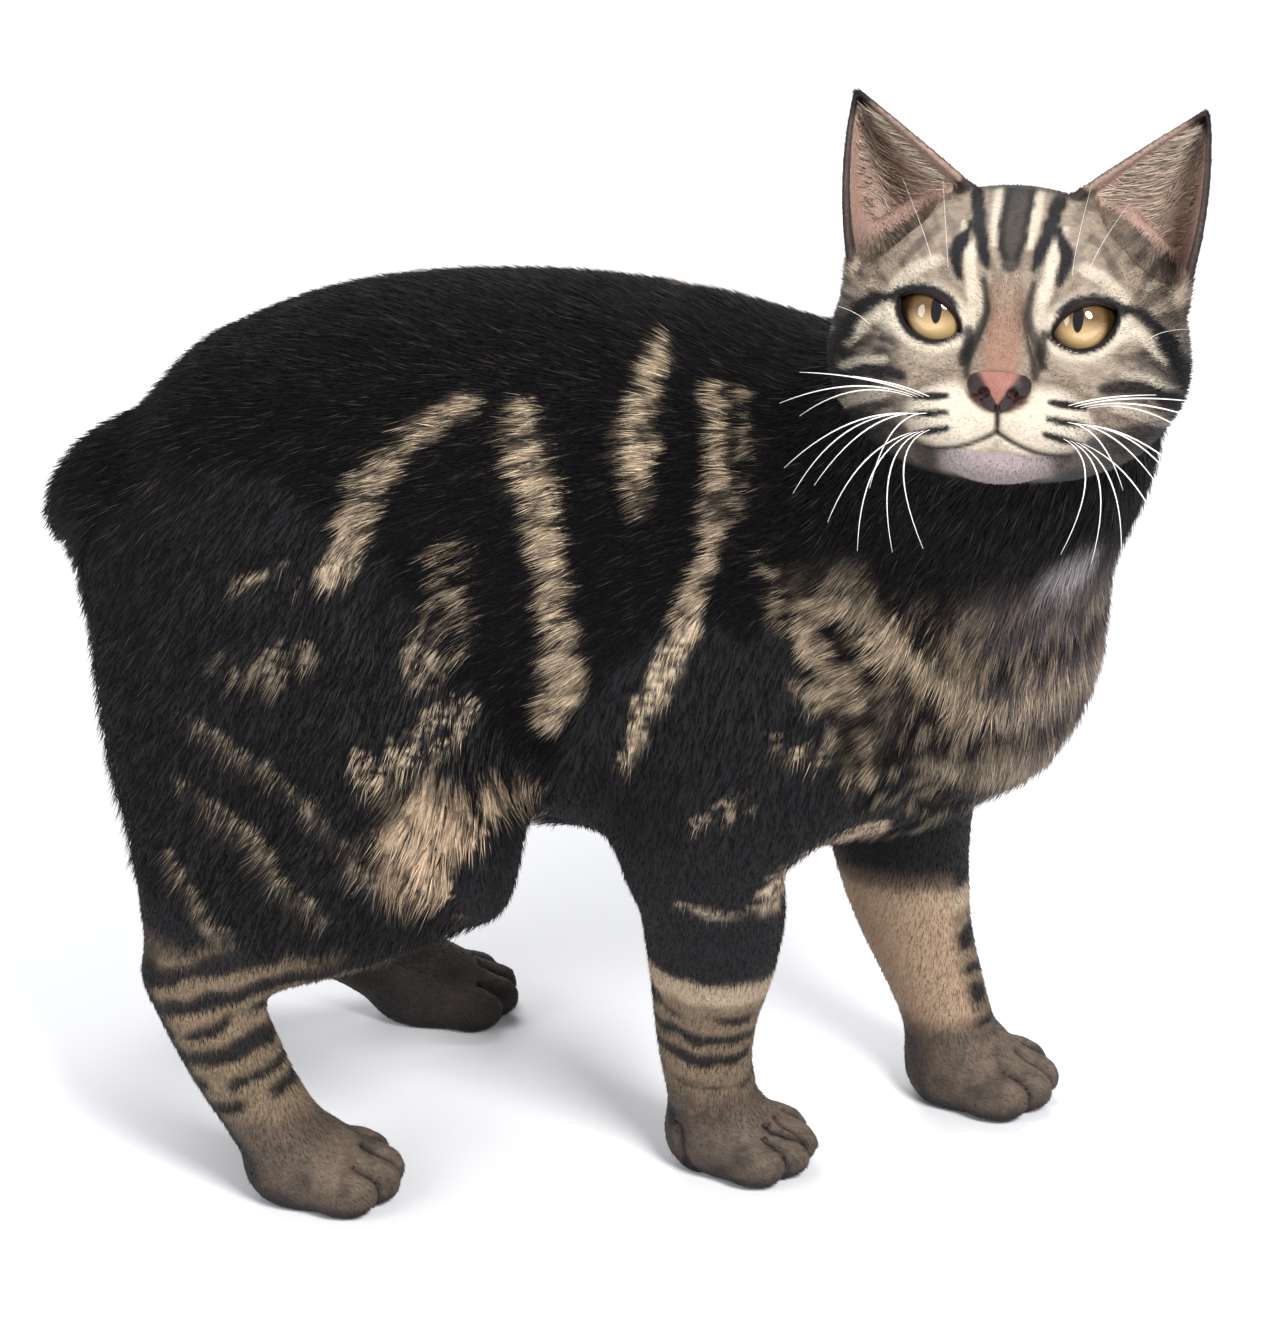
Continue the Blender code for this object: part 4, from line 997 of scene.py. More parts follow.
def length_of(points, normals, regions, sizes):
    """How long the coat is at each point of the skin, in millimetres."""
    kinds = np.array([kind_of(region) for region in regions])
    x, _, z = points.T
    flank = sizes.tuft_length / METRES
    short = sizes.face_length / METRES
    on_thigh = np.isin(kinds, ("thigh", "torso"))
    on_chest = np.isin(kinds, ("torso", "neck"))
    length = flank * np.array([LENGTH_SHARE[kind] for kind in kinds])
    from_fold = np.linalg.norm((points[:, [0, 2]] - FOLD_PATCH[0]) / FOLD_REACH, axis=1)
    length *= 1 + graded(from_fold, FOLD_LONGER) * on_thigh
    length *= 1 + graded(x, RUMP_LONGER) * on_thigh
    length *= 1 + graded(normals[:, 2], BELLY_LONGER) * (kinds == "torso")
    length *= 1 + graded(x, CHEST_LONGER) * on_chest
    length *= 1 + graded(z, UPPER_LEG_LONGER) * (kinds == "foreleg")
    local = cat_to_head(points)
    from_face = np.linalg.norm(local - FACE_MIDDLE, axis=1)
    on_head = short + (NECK_SHARE * flank - short) * ramp(from_face, *FACE_TO_NECK)
    on_head *= 1 - graded(np.linalg.norm(local - MUZZLE_MIDDLE, axis=1), MUZZLE_SHORTER)
    on_head *= 1 - graded(local[:, 2], FOREHEAD_SHORTER)
    return np.where(kinds == "head", on_head, length)


def stroke_mask(flat, rows, soft):
    """How far each point of a plane lies in a stroke through rows of two places and a half width."""
    rows = smooth_rows([(a, b, 0.0, half) for a, b, half in rows], 6)
    best = np.full(len(flat), 1e3)
    for start, end in zip(rows, rows[1:]):
        along = end[:2] - start[:2]
        share = np.clip(((flat - start[:2]) @ along) / max(along @ along, 1e-9), 0, 1)
        off = np.linalg.norm(flat - start[:2] - share[:, None] * along, axis=1)
        best = np.minimum(best, off - (start[3] + share * (end[3] - start[3])))
    return ramp(best, soft, -soft)


def mixed(ground, over, share):
    return ground + (np.asarray(over) - ground) * share[:, None]


def layered(ground, layers):
    """The ground with layers over it, each a colour and how much of it shows at each point."""
    for over, share in layers:
        ground = mixed(ground, over, share)
    return ground


def strokes(ground, over, flat, marks, soft, share):
    """The ground with strokes of one colour, each as strong as its row says."""
    return layered(ground, [(over, stroke_mask(flat, rows, soft) * strength * share)
                            for strength, rows in marks])


def body_colours(points, normals, kinds, paints):
    """The tabby pattern of the body, neck and legs."""
    x, y, z = points.T
    flat = points[:, [0, 2]]
    fine = grain(points, 0.9, 3)
    coarse = grain(points, 6.0, 5)
    # Specks of the strong bars and of the faint ones, and how far the bars' edges wander
    worn = 0.1 + 0.9 * ramp(grain(points * SPECK_SHAPE, 1.5, 4), 0.3, 0.58)
    sparse = ramp(grain(points * SPECK_SHAPE, 1.3, 9), 0.48, 0.72) * 1.25
    ragged = np.stack([grain(points, 3.5, 6), grain(points, 3.5, 8)], 1) - 0.5
    far_side = (y >= TRUNK_MIDDLE[1])[:, None]
    shifted = flat + far_side * FAR_SIDE_SHIFT + ragged * BAR_RAGGED
    trunk = ~np.isin(kinds, ("neck", "forepaw", "hindpaw", "tail"))
    ground = np.tile(np.array(paints.black), (len(points), 1))
    for strength, rows in FLANK_BARS:
        specks = sparse if strength <= FAINT_BAR and rows[0][2] > THIN_BAR else worn
        ground = strokes(ground, paints.tan, shifted, [(strength, rows)], 1.6, trunk * specks)
    # The streaked fold of the flank and the flecked shoulder
    from_fold = np.linalg.norm((flat - FOLD_PATCH[0]) / FOLD_PATCH[1], axis=1) + 0.5 * (coarse - 0.5)
    streak = grain(np.stack([x * 0.8 + z * 0.6, y, (z * 0.8 - x * 0.6) * 0.25], 1), 2.4, 11)
    fold = ramp(from_fold, 1.15, 0.45) * np.isin(kinds, ("thigh", "torso")) * ramp(streak, 0.28, 0.58)
    shoulder = spot(flat, *SHOULDER_PATCH, 1.2, 0.5) * np.isin(kinds, ("torso", "foreleg", "neck"))
    shoulder = shoulder * ramp(coarse, 0.3, 0.6) * worn * 0.8
    front = np.isin(kinds, ("neck", "torso")) * ramp(x, 84, 98)
    ground = layered(ground, [(paints.fold, fold), (paints.tan, shoulder)])
    # Necklaces over the greyish chest, which has pale streaks and a white spot
    torn = flat + ragged * NECKLACE_RAGGED
    ground = strokes(ground, paints.tan, torn, PALE_NECKLACES, 2.0, front * (0.35 + 0.65 * worn))
    chest = front * ramp(z, 222, 205) * ramp(x, 112, 135) * 0.35
    ground = mixed(ground, paints.chin, chest)
    ground = strokes(ground, paints.black, torn, DARK_NECKLACES, 1.6, front)
    streak = grain(points * (0.9, 0.9, 0.3), 2.2, 13)
    ground = layered(ground, [
        (paints.tan, front * ramp(z, 215, 195) * ramp(streak, 0.5, 0.75) * 0.4),
        (paints.white, spot(points, WHITE_SPOT, WHITE_SPOT_RADIUS, 1.3, 0.4) * 0.85),
    ])
    return leg_colours(points, normals, kinds, ground, paints, fine, coarse)


def toe_gaps(points):
    """How deep in a gap between two toes each point lies, from 0 to 1."""
    nearest = np.full(len(points), FAR)
    for (x, y), heading, size in PAWS.values():
        ahead, across = turn(heading)[:2, 1], turn(heading)[:2, 0]
        offset = (points[:, :2] - (x, y)) / size
        forward, sideways = offset @ ahead, offset @ across
        outside = ramp(forward, TOE_GAP_STARTS + 3, TOE_GAP_STARTS) + ramp(points[:, 2], *TOE_TOP)
        for gap in TOE_GAPS:
            fanned = gap * (1 + TOE_FAN * (forward - TOE_GAP_STARTS))
            nearest = np.minimum(nearest, np.abs(sideways - fanned) + FAR * outside)
    return ramp(nearest, 2.0, 0.4)


def leg_colours(points, normals, kinds, ground, paints, fine, coarse):
    """Adds the lower legs with their bars, the pale inside of the forelegs and the taupe paws with their
    painted light and shade.
    """
    x, y, z = points.T
    wave = (coarse - 0.5) * 6
    fore = np.isin(kinds, ("foreleg", "forepaw"))
    hind = np.isin(kinds, ("hock", "hindpaw", "thigh"))
    paws = np.isin(kinds, ("forepaw", "hindpaw"))
    low = np.maximum(fore * ramp(z + wave, FORE_DARK_ABOVE, FORE_DARK_ABOVE - 9),
                     hind * ramp(z + wave, HIND_DARK_ABOVE, HIND_DARK_ABOVE - 10))
    on_paw = ramp(z + wave * 0.6, PAW_TOP + 8, PAW_TOP - 2)[:, None]
    lower = np.array(paints.shin) * (1 - on_paw) + np.array(paints.taupe) * on_paw
    cuff_height, *cuff_widths = CUFF
    cuff = fore * ramp(np.abs(z + wave * 0.5 - cuff_height), *cuff_widths)
    right = y < np.where(fore, -8.0, -30.0)
    inward = np.where(right, 1, -1) * normals[:, 1] - 0.25 * normals[:, 0]
    inner = fore * ramp(inward, 0.15, 0.6) * ramp(z, PAW_TOP - 4, PAW_TOP + 6) * ramp(z, 84, 66)
    inner = np.maximum(inner, hind * ramp(inward, 0.3, 0.8) * ramp(z, 24, 32) * ramp(z, 120, 90) * 0.5)
    bars = np.zeros(len(points))
    for places, wanted, tilt in ((FORE_BARS, fore, FORE_TILT), (HIND_BARS, hind, HIND_TILT)):
        middle = np.where(fore, 42.0, -86.0)
        for height, half in places:
            off = np.abs(z - height + tilt * (x - middle) + wave * 0.7)
            whole = ramp(grain(points + height, 9.0, 7), 0.18, 0.36)
            bars = np.maximum(bars, ramp(off, half + 0.9, half - 0.7) * wanted * whole)
    return layered(ground, [
        # The lower legs with their cuff and bars, and the pale inside
        (lower, low * (0.6 + 0.4 * fine)),
        (paints.tan, cuff * 0.55),
        (paints.black, bars * 0.97),
        (paints.inner_leg, inner * (0.8 + 0.2 * fine)),
        # The back of the hind legs, then the paws with their painted light and shade
        (paints.black, hind * ramp(-normals[:, 0], 0.25, 0.6) * ramp(z, 96, 80) * 0.9),
        # Painted light: the paws' upward faces are paler
        (np.array(paints.taupe) * 1.6, paws * ramp(normals[:, 2], 0.1, 0.8) * fine * 0.8),
        # Dark patches at random, and painted shade on the paws' backs
        (paints.black, paws * (ramp(coarse, 0.5, 0.85) * 0.45 + ramp(normals[:, 0], 0.1, -0.7) * 0.5)),
        # Dark along the paws' lowest band, and painted shade in the gaps between the toes
        (paints.black, paws * np.maximum(ramp(z, SOLE_TOP, 2.5) * 0.85, toe_gaps(points) * 0.92)),
        # The far hind leg, which stands in the dark
        (paints.black, hind * ramp(y, -42, -30) * ramp(z, 130, 110) * 0.8),
    ])


def head_colours(points, kinds, paints):
    """The mask of the face, the stripes of forehead and cheeks, and the ears."""
    local = cat_to_head(points)
    right = to_right(local)
    across, ahead, up = local.T
    folded = right[:, 0]
    flat = right[:, [0, 2]]
    fine = grain(points, 1.1, 21)
    coarse = grain(points, 4.0, 23)
    # The striped back of the head, all but the ears' cups
    cup = np.linalg.norm((right - (32, -16, 20)) / (13, 13, 14), axis=1)
    behind = ramp(ahead, -10, -28) * ramp(cup, 0.8, 1.3) * (0.75 + 0.2 * np.sin(folded * 0.62 + 1.2))
    # Flecks and streaks run away from the nose
    ray = np.stack([np.arctan2(up - NOSE_TIP[2], folded) * 26, np.hypot(up - NOSE_TIP[2], folded) / 4.5,
                    (across > 0) * 5.5], 1)
    flecks = ramp(grain(ray, 1.0, 27), 0.48, 0.72) * (0.30 + 0.35 * ramp(folded, 22, 38))
    streaks = 0.4 + 0.6 * ramp(grain(ray, 1.0, 29), 0.3, 0.6)
    jaw = ramp(up + 33 - 0.35 * (folded - 13), 1, -3) * ramp(folded, 12, 16)
    bridge = ramp(folded, 6.5, 3.0) * ramp(up, -17, -12) * (1 - 0.6 * ramp(up, -4, 8)) * ramp(up, 14, 6)
    edge = lids_edge(local)
    on_ball = ramp(ahead, 0, 5)
    ground = np.tile(np.array(paints.face), (len(points), 1)) * (0.75 + 0.5 * fine[:, None])
    ground = layered(ground, [
        (paints.black, flecks),
        (paints.black, behind),
        # The low cheeks, painted shade over the right cheek broken by its streaks, and the jaw
        (paints.black, ramp(folded, 26, 40) * ramp(up, 0, -12) * (0.25 + 0.35 * coarse)),
        # Painted shade on the right cheek, with its streaks left paler
        (paints.black, ramp(across, 22, 32) * ramp(up, 5, -3) * streaks * 0.9),
        (paints.black, jaw * (0.6 + 0.35 * coarse)),
        (paints.bridge, bridge * 0.8),
        # Pale rings round the eyes, at their outer and inner corners, the muzzle and under the eyes
        (paints.cream, ramp(edge, 4.4, 1.8) * (0.5 + 0.5 * ramp(up, 7, 1)) * on_ball * 0.95),
        (paints.cream, spot(flat, (30, -1), (5.5, 4.5), 1.2, 0.5) * 0.6),
        (paints.cream, spot(flat, (8.2, 3), (2.2, 7), 1.3, 0.6) * 0.75 * ramp(ahead, 0, 6)),
        (paints.cream, spot(right, (10.5, 24, -25.5), (14, 12, 8.5), 1.25, 0.8) * 0.92),
        (paints.cream, spot(flat, (19, -11), (11, 3.6), 1.2, 0.5) * 0.15),
        # The chin and the shade under it
        (paints.chin, ramp(up, -33.2, -35) * ramp(folded, 17, 11) * ramp(ahead, 2, 10)),
        (paints.black, ramp(up, -36, -42) * ramp(ahead, 16, 6) * 0.85),
    ])
    front = ramp(ahead, -24, -16)
    ground = strokes(ground, paints.cream, flat, FACE_LIGHTS, 0.7, front)
    ground = strokes(ground, paints.black, flat + (coarse - 0.5)[:, None] * 1.2, FACE_MARKS, 0.6, front)
    whisker_marks = [(1.0, whisker_mark(*row)) for row in WHISKER_ROWS]
    ground = strokes(ground, paints.black, flat, whisker_marks, 0.4, ramp(ahead, 10, 16))
    mouth = [(1.0, [(a, b, 0.6) for a, b, _, _ in groove]) for groove in (PHILTRUM, MOUTH_LINE)]
    ground = strokes(ground, paints.black, flat, mouth, 0.6, ramp(ahead, 8, 14))
    liner = np.maximum(ramp(edge, 1.5, 0.7), ramp(edge, 2.6, 1.6) * ramp(up, 0.5, 3)) * on_ball
    ground = layered(ground, [
        (paints.black, liner),
        ((0.10, 0.045, 0.035), spot(right, NOSE_CENTRE, (9, 7, 6.5), 1.0, 0.8)),
    ])
    return ear_colours(local, kinds == "ear", ground, paints, fine, coarse)


def whisker_mark(start, end):
    """The dark line that the whiskers of one row grow from, thickest in its middle."""
    middle = (np.array(start) + end) / 2
    return (*start, WHISKER_MARK * 0.8), (*middle, WHISKER_MARK), (*end, WHISKER_MARK * 0.6)


def ear_colours(local, on_ear, ground, paints, fine, coarse):
    """Adds the bare inside of the ears with painted shade deep in their cups, their dark rims and tips, and
    their brown backs.
    """
    sway = np.where(local[:, 0] > 0, EAR_SWAY["right"], EAR_SWAY["left"])
    folded = to_right(local) - np.outer(sway, (1, 0, 0))
    sheet, facing, _ = ear_sheet(24, 40)
    columns = sheet.shape[1]
    facing = (facing * np.sign(facing[..., 1].mean())).reshape(-1, 3)
    wanted = np.flatnonzero(on_ear)
    nearest = nearest_finder(sheet.reshape(-1, 3))(folded[wanted])
    off_sheet = folded[wanted] - sheet.reshape(-1, 3)[nearest]
    in_cup = np.zeros(len(local), bool)
    in_cup[wanted] = (off_sheet * facing[nearest]).sum(1) > 0
    place = nearest % columns / (columns - 1)
    width = np.linalg.norm(sheet[nearest // columns, 0] - sheet[nearest // columns, -1], axis=1)
    near_rim = np.full(len(local), FAR)
    near_rim[wanted] = np.minimum(place, 1 - place) * width * 1.25
    outer_edge = np.zeros(len(local))
    outer_edge[wanted] = 0.35 + 0.65 * ramp(place, 0.3, 0.6)
    inside = on_ear & in_cup
    outside = on_ear & ~in_cup
    tip = np.linalg.norm(folded - EAR_TIP, axis=1)
    return layered(ground, [
        # The back, the inside and the painted shade deep in it, then the outer rim and the tip
        (np.array(paints.face) * 0.45, outside * (0.6 + 0.4 * coarse)),
        (paints.ear_inside, inside * (0.75 + 0.25 * fine)),
        (np.array(paints.ear_inside) * 0.3, inside * ramp(folded[:, 2], 28, 12) * 0.6),
        (paints.black, outer_edge * ramp(near_rim + 0.6 * in_cup, 1.5, 0.6) * 0.85),
        (paints.black, on_ear * ramp(tip, 9, 4) * 0.95),
    ])


def coat_colours(points, normals, regions, paints):
    """The colour of skin and coat at these places."""
    kinds = np.array([kind_of(region) for region in regions])
    made = np.zeros((len(points), 3))
    on_head = np.isin(kinds, ("head", "ear"))
    if on_head.any():
        made[on_head] = head_colours(points[on_head], kinds[on_head], paints)
    if (~on_head).any():
        body = ~on_head
        made[body] = body_colours(points[body], normals[body], kinds[body], paints)
    return np.clip(made, 0.004, 1)


def mark_skin(made, sizes, paints):
    """Keeps on the skin's points its colour, the coat's lie and length, and its part of the cat."""
    mesh = made.data
    points = to_cat(numbers(mesh.vertices, "co", 3))
    normals = numbers(mesh.vertices, "normal", 3)
    regions = node_finder(FLESH)(points)
    edges = edges_of(mesh)
    lie = smoothed(lie_of(points, normals, regions), edges, len(points), LIE_ROUNDS)
    lie = unit(lie - normals * (lie * normals).sum(1)[:, None])
    length = length_of(points, normals, regions, sizes)[:, None]
    length = smoothed(length, edges, len(points), LENGTH_ROUNDS)
    # Painted shade: the skin is darkened where it lies under the tufts
    store(mesh, "coat_colour", "FLOAT_COLOR", coat_colours(points, normals, regions, paints) * SKIN_SHADE)
    store(mesh, "coat_lie", "FLOAT_VECTOR", lie)
    store(mesh, "coat_length", "FLOAT", length)
    part = mesh.attributes.new("part", "INT", "POINT")
    part.data.foreach_set("value", np.array([FLESH.index(region) for region in regions], np.int32))


class SkinPoints:
    """What the skin keeps on its points, read back for the coat."""

    def __init__(self, skin):
        mesh = skin.data
        mesh.calc_loop_triangles()
        self.corners = np.zeros(len(mesh.loop_triangles) * 3, np.int32)
        mesh.loop_triangles.foreach_get("vertices", self.corners)
        self.corners = self.corners.reshape(-1, 3)
        self.points = to_cat(numbers(mesh.vertices, "co", 3))
        self.normals = numbers(mesh.vertices, "normal", 3)
        self.lie = numbers(mesh.attributes["coat_lie"].data, "vector", 3)
        self.length = numbers(mesh.attributes["coat_length"].data, "value", 1)
        self.part = numbers(mesh.attributes["part"].data, "value", 1).astype(int)
        a, b, c = self.points[self.corners].swapaxes(0, 1)
        self.areas = np.linalg.norm(np.cross(b - a, c - a), axis=1) / 2

    def scatter(self, wanted, count, rng):
        """Roots spread evenly over the wanted triangles, with what the skin keeps there."""
        weights = self.areas * wanted * self.crowding()
        totals = np.cumsum(weights)
        picks = (np.arange(count) + rng.random(count)) / count * totals[-1]
        chosen = np.searchsorted(totals, picks)
        a, b = rng.random((2, count))
        flip = a + b > 1
        a, b = np.where(flip, 1 - a, a), np.where(flip, 1 - b, b)
        shares = np.stack([1 - a - b, a, b], 1)[:, :, None]
        corners = self.corners[chosen]
        found = [(values[corners] * shares).sum(1) for values in
                 (self.points, unit(self.normals), self.lie, self.length[:, None])]
        names = np.array(FLESH)[self.part[corners[:, 0]]]
        return found[0], unit(found[1]), unit(found[2]), found[3][:, 0], names

    def crowding(self):
        """Short hair needs its tufts closer together than long hair."""
        length = self.length[self.corners[:, 0]]
        return np.clip(7.0 / np.maximum(length, 1.5), 0.8, 3.0)


def in_stretch(points, stretch):
    """Which points lie in the stretch of the cat that a coat piece takes."""
    if not stretch:
        return np.ones(len(points), bool)
    if stretch == "crown":
        return cat_to_head(points)[:, 1] <= FACE_STARTS
    where, side = stretch.split("_")
    if where == "face":
        local = cat_to_head(points)
        return (local[:, 1] > FACE_STARTS) & ((local[:, 0] > 0) == (side == "right"))
    front = points[:, 0] > TRUNK_MIDDLE[0]
    right = points[:, 1] < TRUNK_MIDDLE[1]
    return (front == (where == "fore")) & (right == (side == "right"))


def globe_unwrap(points, level):
    """Places on a map of the piece's own shape: scaled to a ball, then laid out with equal areas.
    A level piece has its poles at its front and back, the others above and below."""
    low, high = points.min(0), points.max(0)
    ball = unit((points - (low + high) / 2) / np.maximum(high - low, 1e-6))
    if level:
        ball = ball[:, [1, 2, 0]]
    turned = np.arctan2(ball[:, 1], ball[:, 0])
    mean = math.atan2(np.sin(turned).mean(), np.cos(turned).mean())
    turned = (turned - mean + math.pi) % (2 * math.pi)
    flat = np.stack([turned, ball[:, 2]], 1)
    flat = (flat - flat.min(0)) / np.maximum(flat.max(0) - flat.min(0), 1e-6)
    return flat * (1 - BAKE_PATCH)


def tuft_faces(rings, count):
    """Triangles of closed three-sided spikes, each with these rings of points and then its tip."""
    faces = [(0, 2, 1)]
    for low in range(0, 3 * rings - 3, 3):
        for a, b in TUFT_SIDES:
            faces += [(low + a, low + b, low + 3 + b), (low + a, low + 3 + b, low + 3 + a)]
    last = 3 * rings - 3
    faces += [(last + a, last + b, 3 * rings) for a, b in TUFT_SIDES]
    starts = np.arange(count) * (3 * rings + 1)
    return (np.array(faces)[None] + starts[:, None, None]).reshape(-1, 3)[:, ::-1]


def tuft_object(name, roots, normals, lie, length, width, lift, tints, uv, rng, rings=1):
    """Closed three-sided spikes that bend along the lie, each with its colour, painted shade at its root and
    painted light at its point, and its own map patch.
    """
    count = len(roots)
    side = unit(np.cross(lie, normals))
    spin = rng.normal(0, TUFT_SPIN, count)[:, None]
    side = unit(side * np.cos(spin) + normals * np.sin(spin))
    centre = roots - normals * ROOT_SINK
    verts, shades, patch = [], [], []
    for share in np.linspace(0, 1, rings, endpoint=False):
        angle = lift * (1 - 0.85 * (share + 0.5 / rings)) if rings > 1 else lift * 0.62
        ahead = lie * np.cos(angle)[:, None] + normals * np.sin(angle)[:, None]
        over = unit(np.cross(side, ahead))
        half = (width / 2 * (1 - 0.55 * share ** 1.5))[:, None]
        verts += [centre + side * half, centre - side * half, centre + over * half * 0.7]
        # Painted shade: each ring is darker the nearer it lies to the root, deep in the coat
        shade = ROOT_SHADE + (1 - ROOT_SHADE) * min(1, share * 2 + 0.12)
        shades += [np.full(count, shade)] * 3
        patch += [(0.0, share), (1.0, share), (0.5, share)]
        centre = centre + ahead * (length / rings)[:, None]
    points = np.stack([*verts, centre], 1).reshape(-1, 3)
    points[:, 2] = np.maximum(points[:, 2], FLOOR_GAP)
    # The point gets painted light, a little brighter than the tuft's own colour
    shade = np.stack([*shades, np.full(count, TIP_PAINTED_LIGHT)], 1).reshape(-1)
    patch = np.array([*patch, (0.5, 1.0)])
    made = mesh_object(name, to_frame(points), tuft_faces(rings, count))
    store(made.data, "coat_colour", "FLOAT_COLOR", np.repeat(tints, len(patch), axis=0) * shade[:, None])
    places = (uv[:, None] + patch[None] * BAKE_PATCH).reshape(-1, 2)
    layer = made.data.uv_layers.new(name="OFBake")
    corners = np.zeros(len(made.data.loops), np.int32)
    made.data.loops.foreach_get("vertex_index", corners)
    layer.uv.foreach_set("vector", places[corners].astype(np.float32).ravel())
    return made


def coat_piece(skin, row, number, sizes, paints):
    """One piece of the coat, from its row of COAT_PIECES."""
    name, nodes, stretch, count = row
    rng = np.random.default_rng(sizes.seed * 100 + number)
    wanted = np.isin(skin.part[skin.corners[:, 0]], [FLESH.index(node) for node in nodes])
    wanted &= in_stretch(skin.points[skin.corners].mean(1), stretch)
    found = skin.scatter(wanted, count, rng)
    if name.startswith("coat_face"):
        keep = ~bare_of_hair(cat_to_head(found[0]))
        found = [values[keep] for values in found]
    roots, normals, lie, length, regions = found
    count = len(roots)
    long = ramp(length, *SHORT_AND_LONG)
    width = (sizes.face_width + (sizes.tuft_width - sizes.face_width) * long) / METRES
    clump = np.stack([grain(roots, 5.0, seed) for seed in (31, 32, 33)], 1) - 0.5
    lie = lie + rng.normal(0, 0.10, (count, 3)) + clump * (0.25 + 0.45 * long)[:, None]
    lie = unit(lie - normals * (lie * normals).sum(1)[:, None])
    strayed = roots + rng.normal(0, 1, (count, 3)) * (0.1 + 0.25 * long)[:, None]
    tints = coat_colours(strayed, normals, regions, paints)
    tints = tints * (1 + (rng.random(count) - 0.5) * (0.7 + 0.5 * long))[:, None]
    tints = mixed(tints, paints.face, (rng.random(count) < STRAY_PALE) * 0.22 * long)
    lift = sizes.lift * (0.55 + 0.9 * rng.random(count))
    length = length * (0.72 + 0.5 * rng.random(count))
    width = width * (0.75 + 0.5 * rng.random(count)) * 1.0
    uv = globe_unwrap(roots, "torso" in nodes or "neck" in nodes)
    return tuft_object(name, roots, normals, lie, length, width, lift, tints, uv, rng)


def bare_of_hair(local):
    """The nose leather, the mouth and the lids' rims carry no hair."""
    leather = np.linalg.norm((to_right(local) - (0, 28.5, -18.4)) / (8.6, 7, 6.0), axis=1) < 1
    return leather | (lids_edge(local) < 1.1) & (local[:, 1] > 3)


class Wire:
    """One socket of a material, which sums and products take as if it were a number."""

    def __init__(self, paint, socket):
        self.paint = paint
        self.socket = socket

    def __add__(self, other):
        return self.paint.maths("ADD", self, other)

    def __sub__(self, other):
        return self.paint.maths("SUBTRACT", self, other)

    def __rsub__(self, other):
        return self.paint.maths("SUBTRACT", other, self)

    def __mul__(self, other):
        return self.paint.maths("MULTIPLY", self, other)

    def __truediv__(self, other):
        return self.paint.maths("DIVIDE", self, other)

    __radd__ = __add__
    __rmul__ = __mul__


class Paint:
    """A material of named finish, and the one way that its nodes are made."""

    def __init__(self, name, **finish):
        self.material = bpy.data.materials.new(name)
        self.material.use_nodes = True
        self.tree = self.material.node_tree
        self.shader = self.tree.nodes["Principled BSDF"]
        for socket, value in finish.items():
            self.shader.inputs[socket.replace("_", " ").title().replace("Ior", "IOR")].default_value = value

    def add(self, kind, settings=None, sockets=None, output=0):
        """A node of this type: its settings first, then values or links for its sockets."""
        node = self.tree.nodes.new(kind)
        for name, value in (settings or {}).items():
            if name == "stops":
                ramp_stops = node.color_ramp.elements
                while len(ramp_stops) < len(value):
                    ramp_stops.new(0.5)
                for stop, (place, shade) in zip(ramp_stops, value):
                    stop.position = place
                    stop.color = (*shade, 1)
            else:
                setattr(node, name, value)
        for name, value in (sockets or {}).items():
            if isinstance(value, Wire):
                self.tree.links.new(value.socket, node.inputs[name])
            else:
                node.inputs[name].default_value = value
        return Wire(self, node.outputs[output])

    def maths(self, operation, a, b=0.0):
        return self.add("ShaderNodeMath", {"operation": operation}, {0: a, 1: b})

    def kept(self, name, output="Color"):
        """A value that the mesh keeps on its points."""
        return self.add("ShaderNodeAttribute", {"attribute_name": name}, {}, output)

    def mix(self, share, a, b, kind="MIX"):
        """Two colours mixed. A plain colour is three numbers."""
        full = [value if isinstance(value, Wire) else (*value, 1) for value in (a, b)]
        settings = {"data_type": "RGBA", "blend_type": kind}
        return self.add("ShaderNodeMix", settings, {0: share, 6: full[0], 7: full[1]}, 2)

    def noise(self, scale, detail=2.0, stretch=(1, 1, 1)):
        """Noise over the object's own coordinates."""
        place = self.add("ShaderNodeTexCoord", output="Object")
        place = self.add("ShaderNodeMapping", {}, {"Vector": place, "Scale": stretch})
        return self.add("ShaderNodeTexNoise", {}, {"Vector": place, "Scale": scale, "Detail": detail})

    def bump(self, height, strength, distance):
        return self.add("ShaderNodeBump", {}, {"Height": height, "Strength": strength, "Distance": distance})

    def feed(self, **wires):
        """Links wires to the shader's sockets, such as Base_Color."""
        for name, wire in wires.items():
            self.tree.links.new(wire.socket, self.shader.inputs[name.replace("_", " ")])
        return self.material


def coat_paint():
    """Hair: the tufts' own colour, a little uneven, with a dull gloss."""
    paint = Paint("tabby_coat", roughness=0.5, specular_ior_level=0.13)
    uneven = paint.noise(900, 3.0)
    shade = paint.mix(uneven * 0.5, paint.kept("coat_colour"), (0.0, 0.0, 0.0))
    return paint.feed(Base_Color=shade, Roughness=0.44 + uneven * 0.22)


def skin_paint():
    """The skin and the short hair that lies flat on it."""
    paint = Paint("undercoat", roughness=0.7, specular_ior_level=0.25)
    hair = paint.noise(1600, 4.0, (0.35, 1.0, 1.0))
    shade = paint.mix(hair * 0.6, paint.kept("coat_colour"), (0.0, 0.0, 0.0))
    return paint.feed(Base_Color=shade, Roughness=0.58 + hair * 0.25, Normal=paint.bump(hair, 0.5, 0.0004))


def ride_and_finish(made, material):
    """Gives a piece its material and the body it rides on."""
    made.data.materials.clear()
    made.data.materials.append(material)
    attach(made, "root")
    return made


def ring_faces(rings, sides, first, last):
    """Triangles that join rings of points in their order, and close each end with one point."""
    after = [(number + 1) % sides for number in range(sides)]
    faces = []
    for start in range(0, (rings - 1) * sides, sides):
        for number in range(sides):
            a, b = start + number, start + after[number]
            faces += [(a, b, b + sides), (a, b + sides, a + sides)]
    top = (rings - 1) * sides
    for number in range(sides):
        faces += [(after[number], number, first), (top + number, top + after[number], last)]
    return np.array(faces)


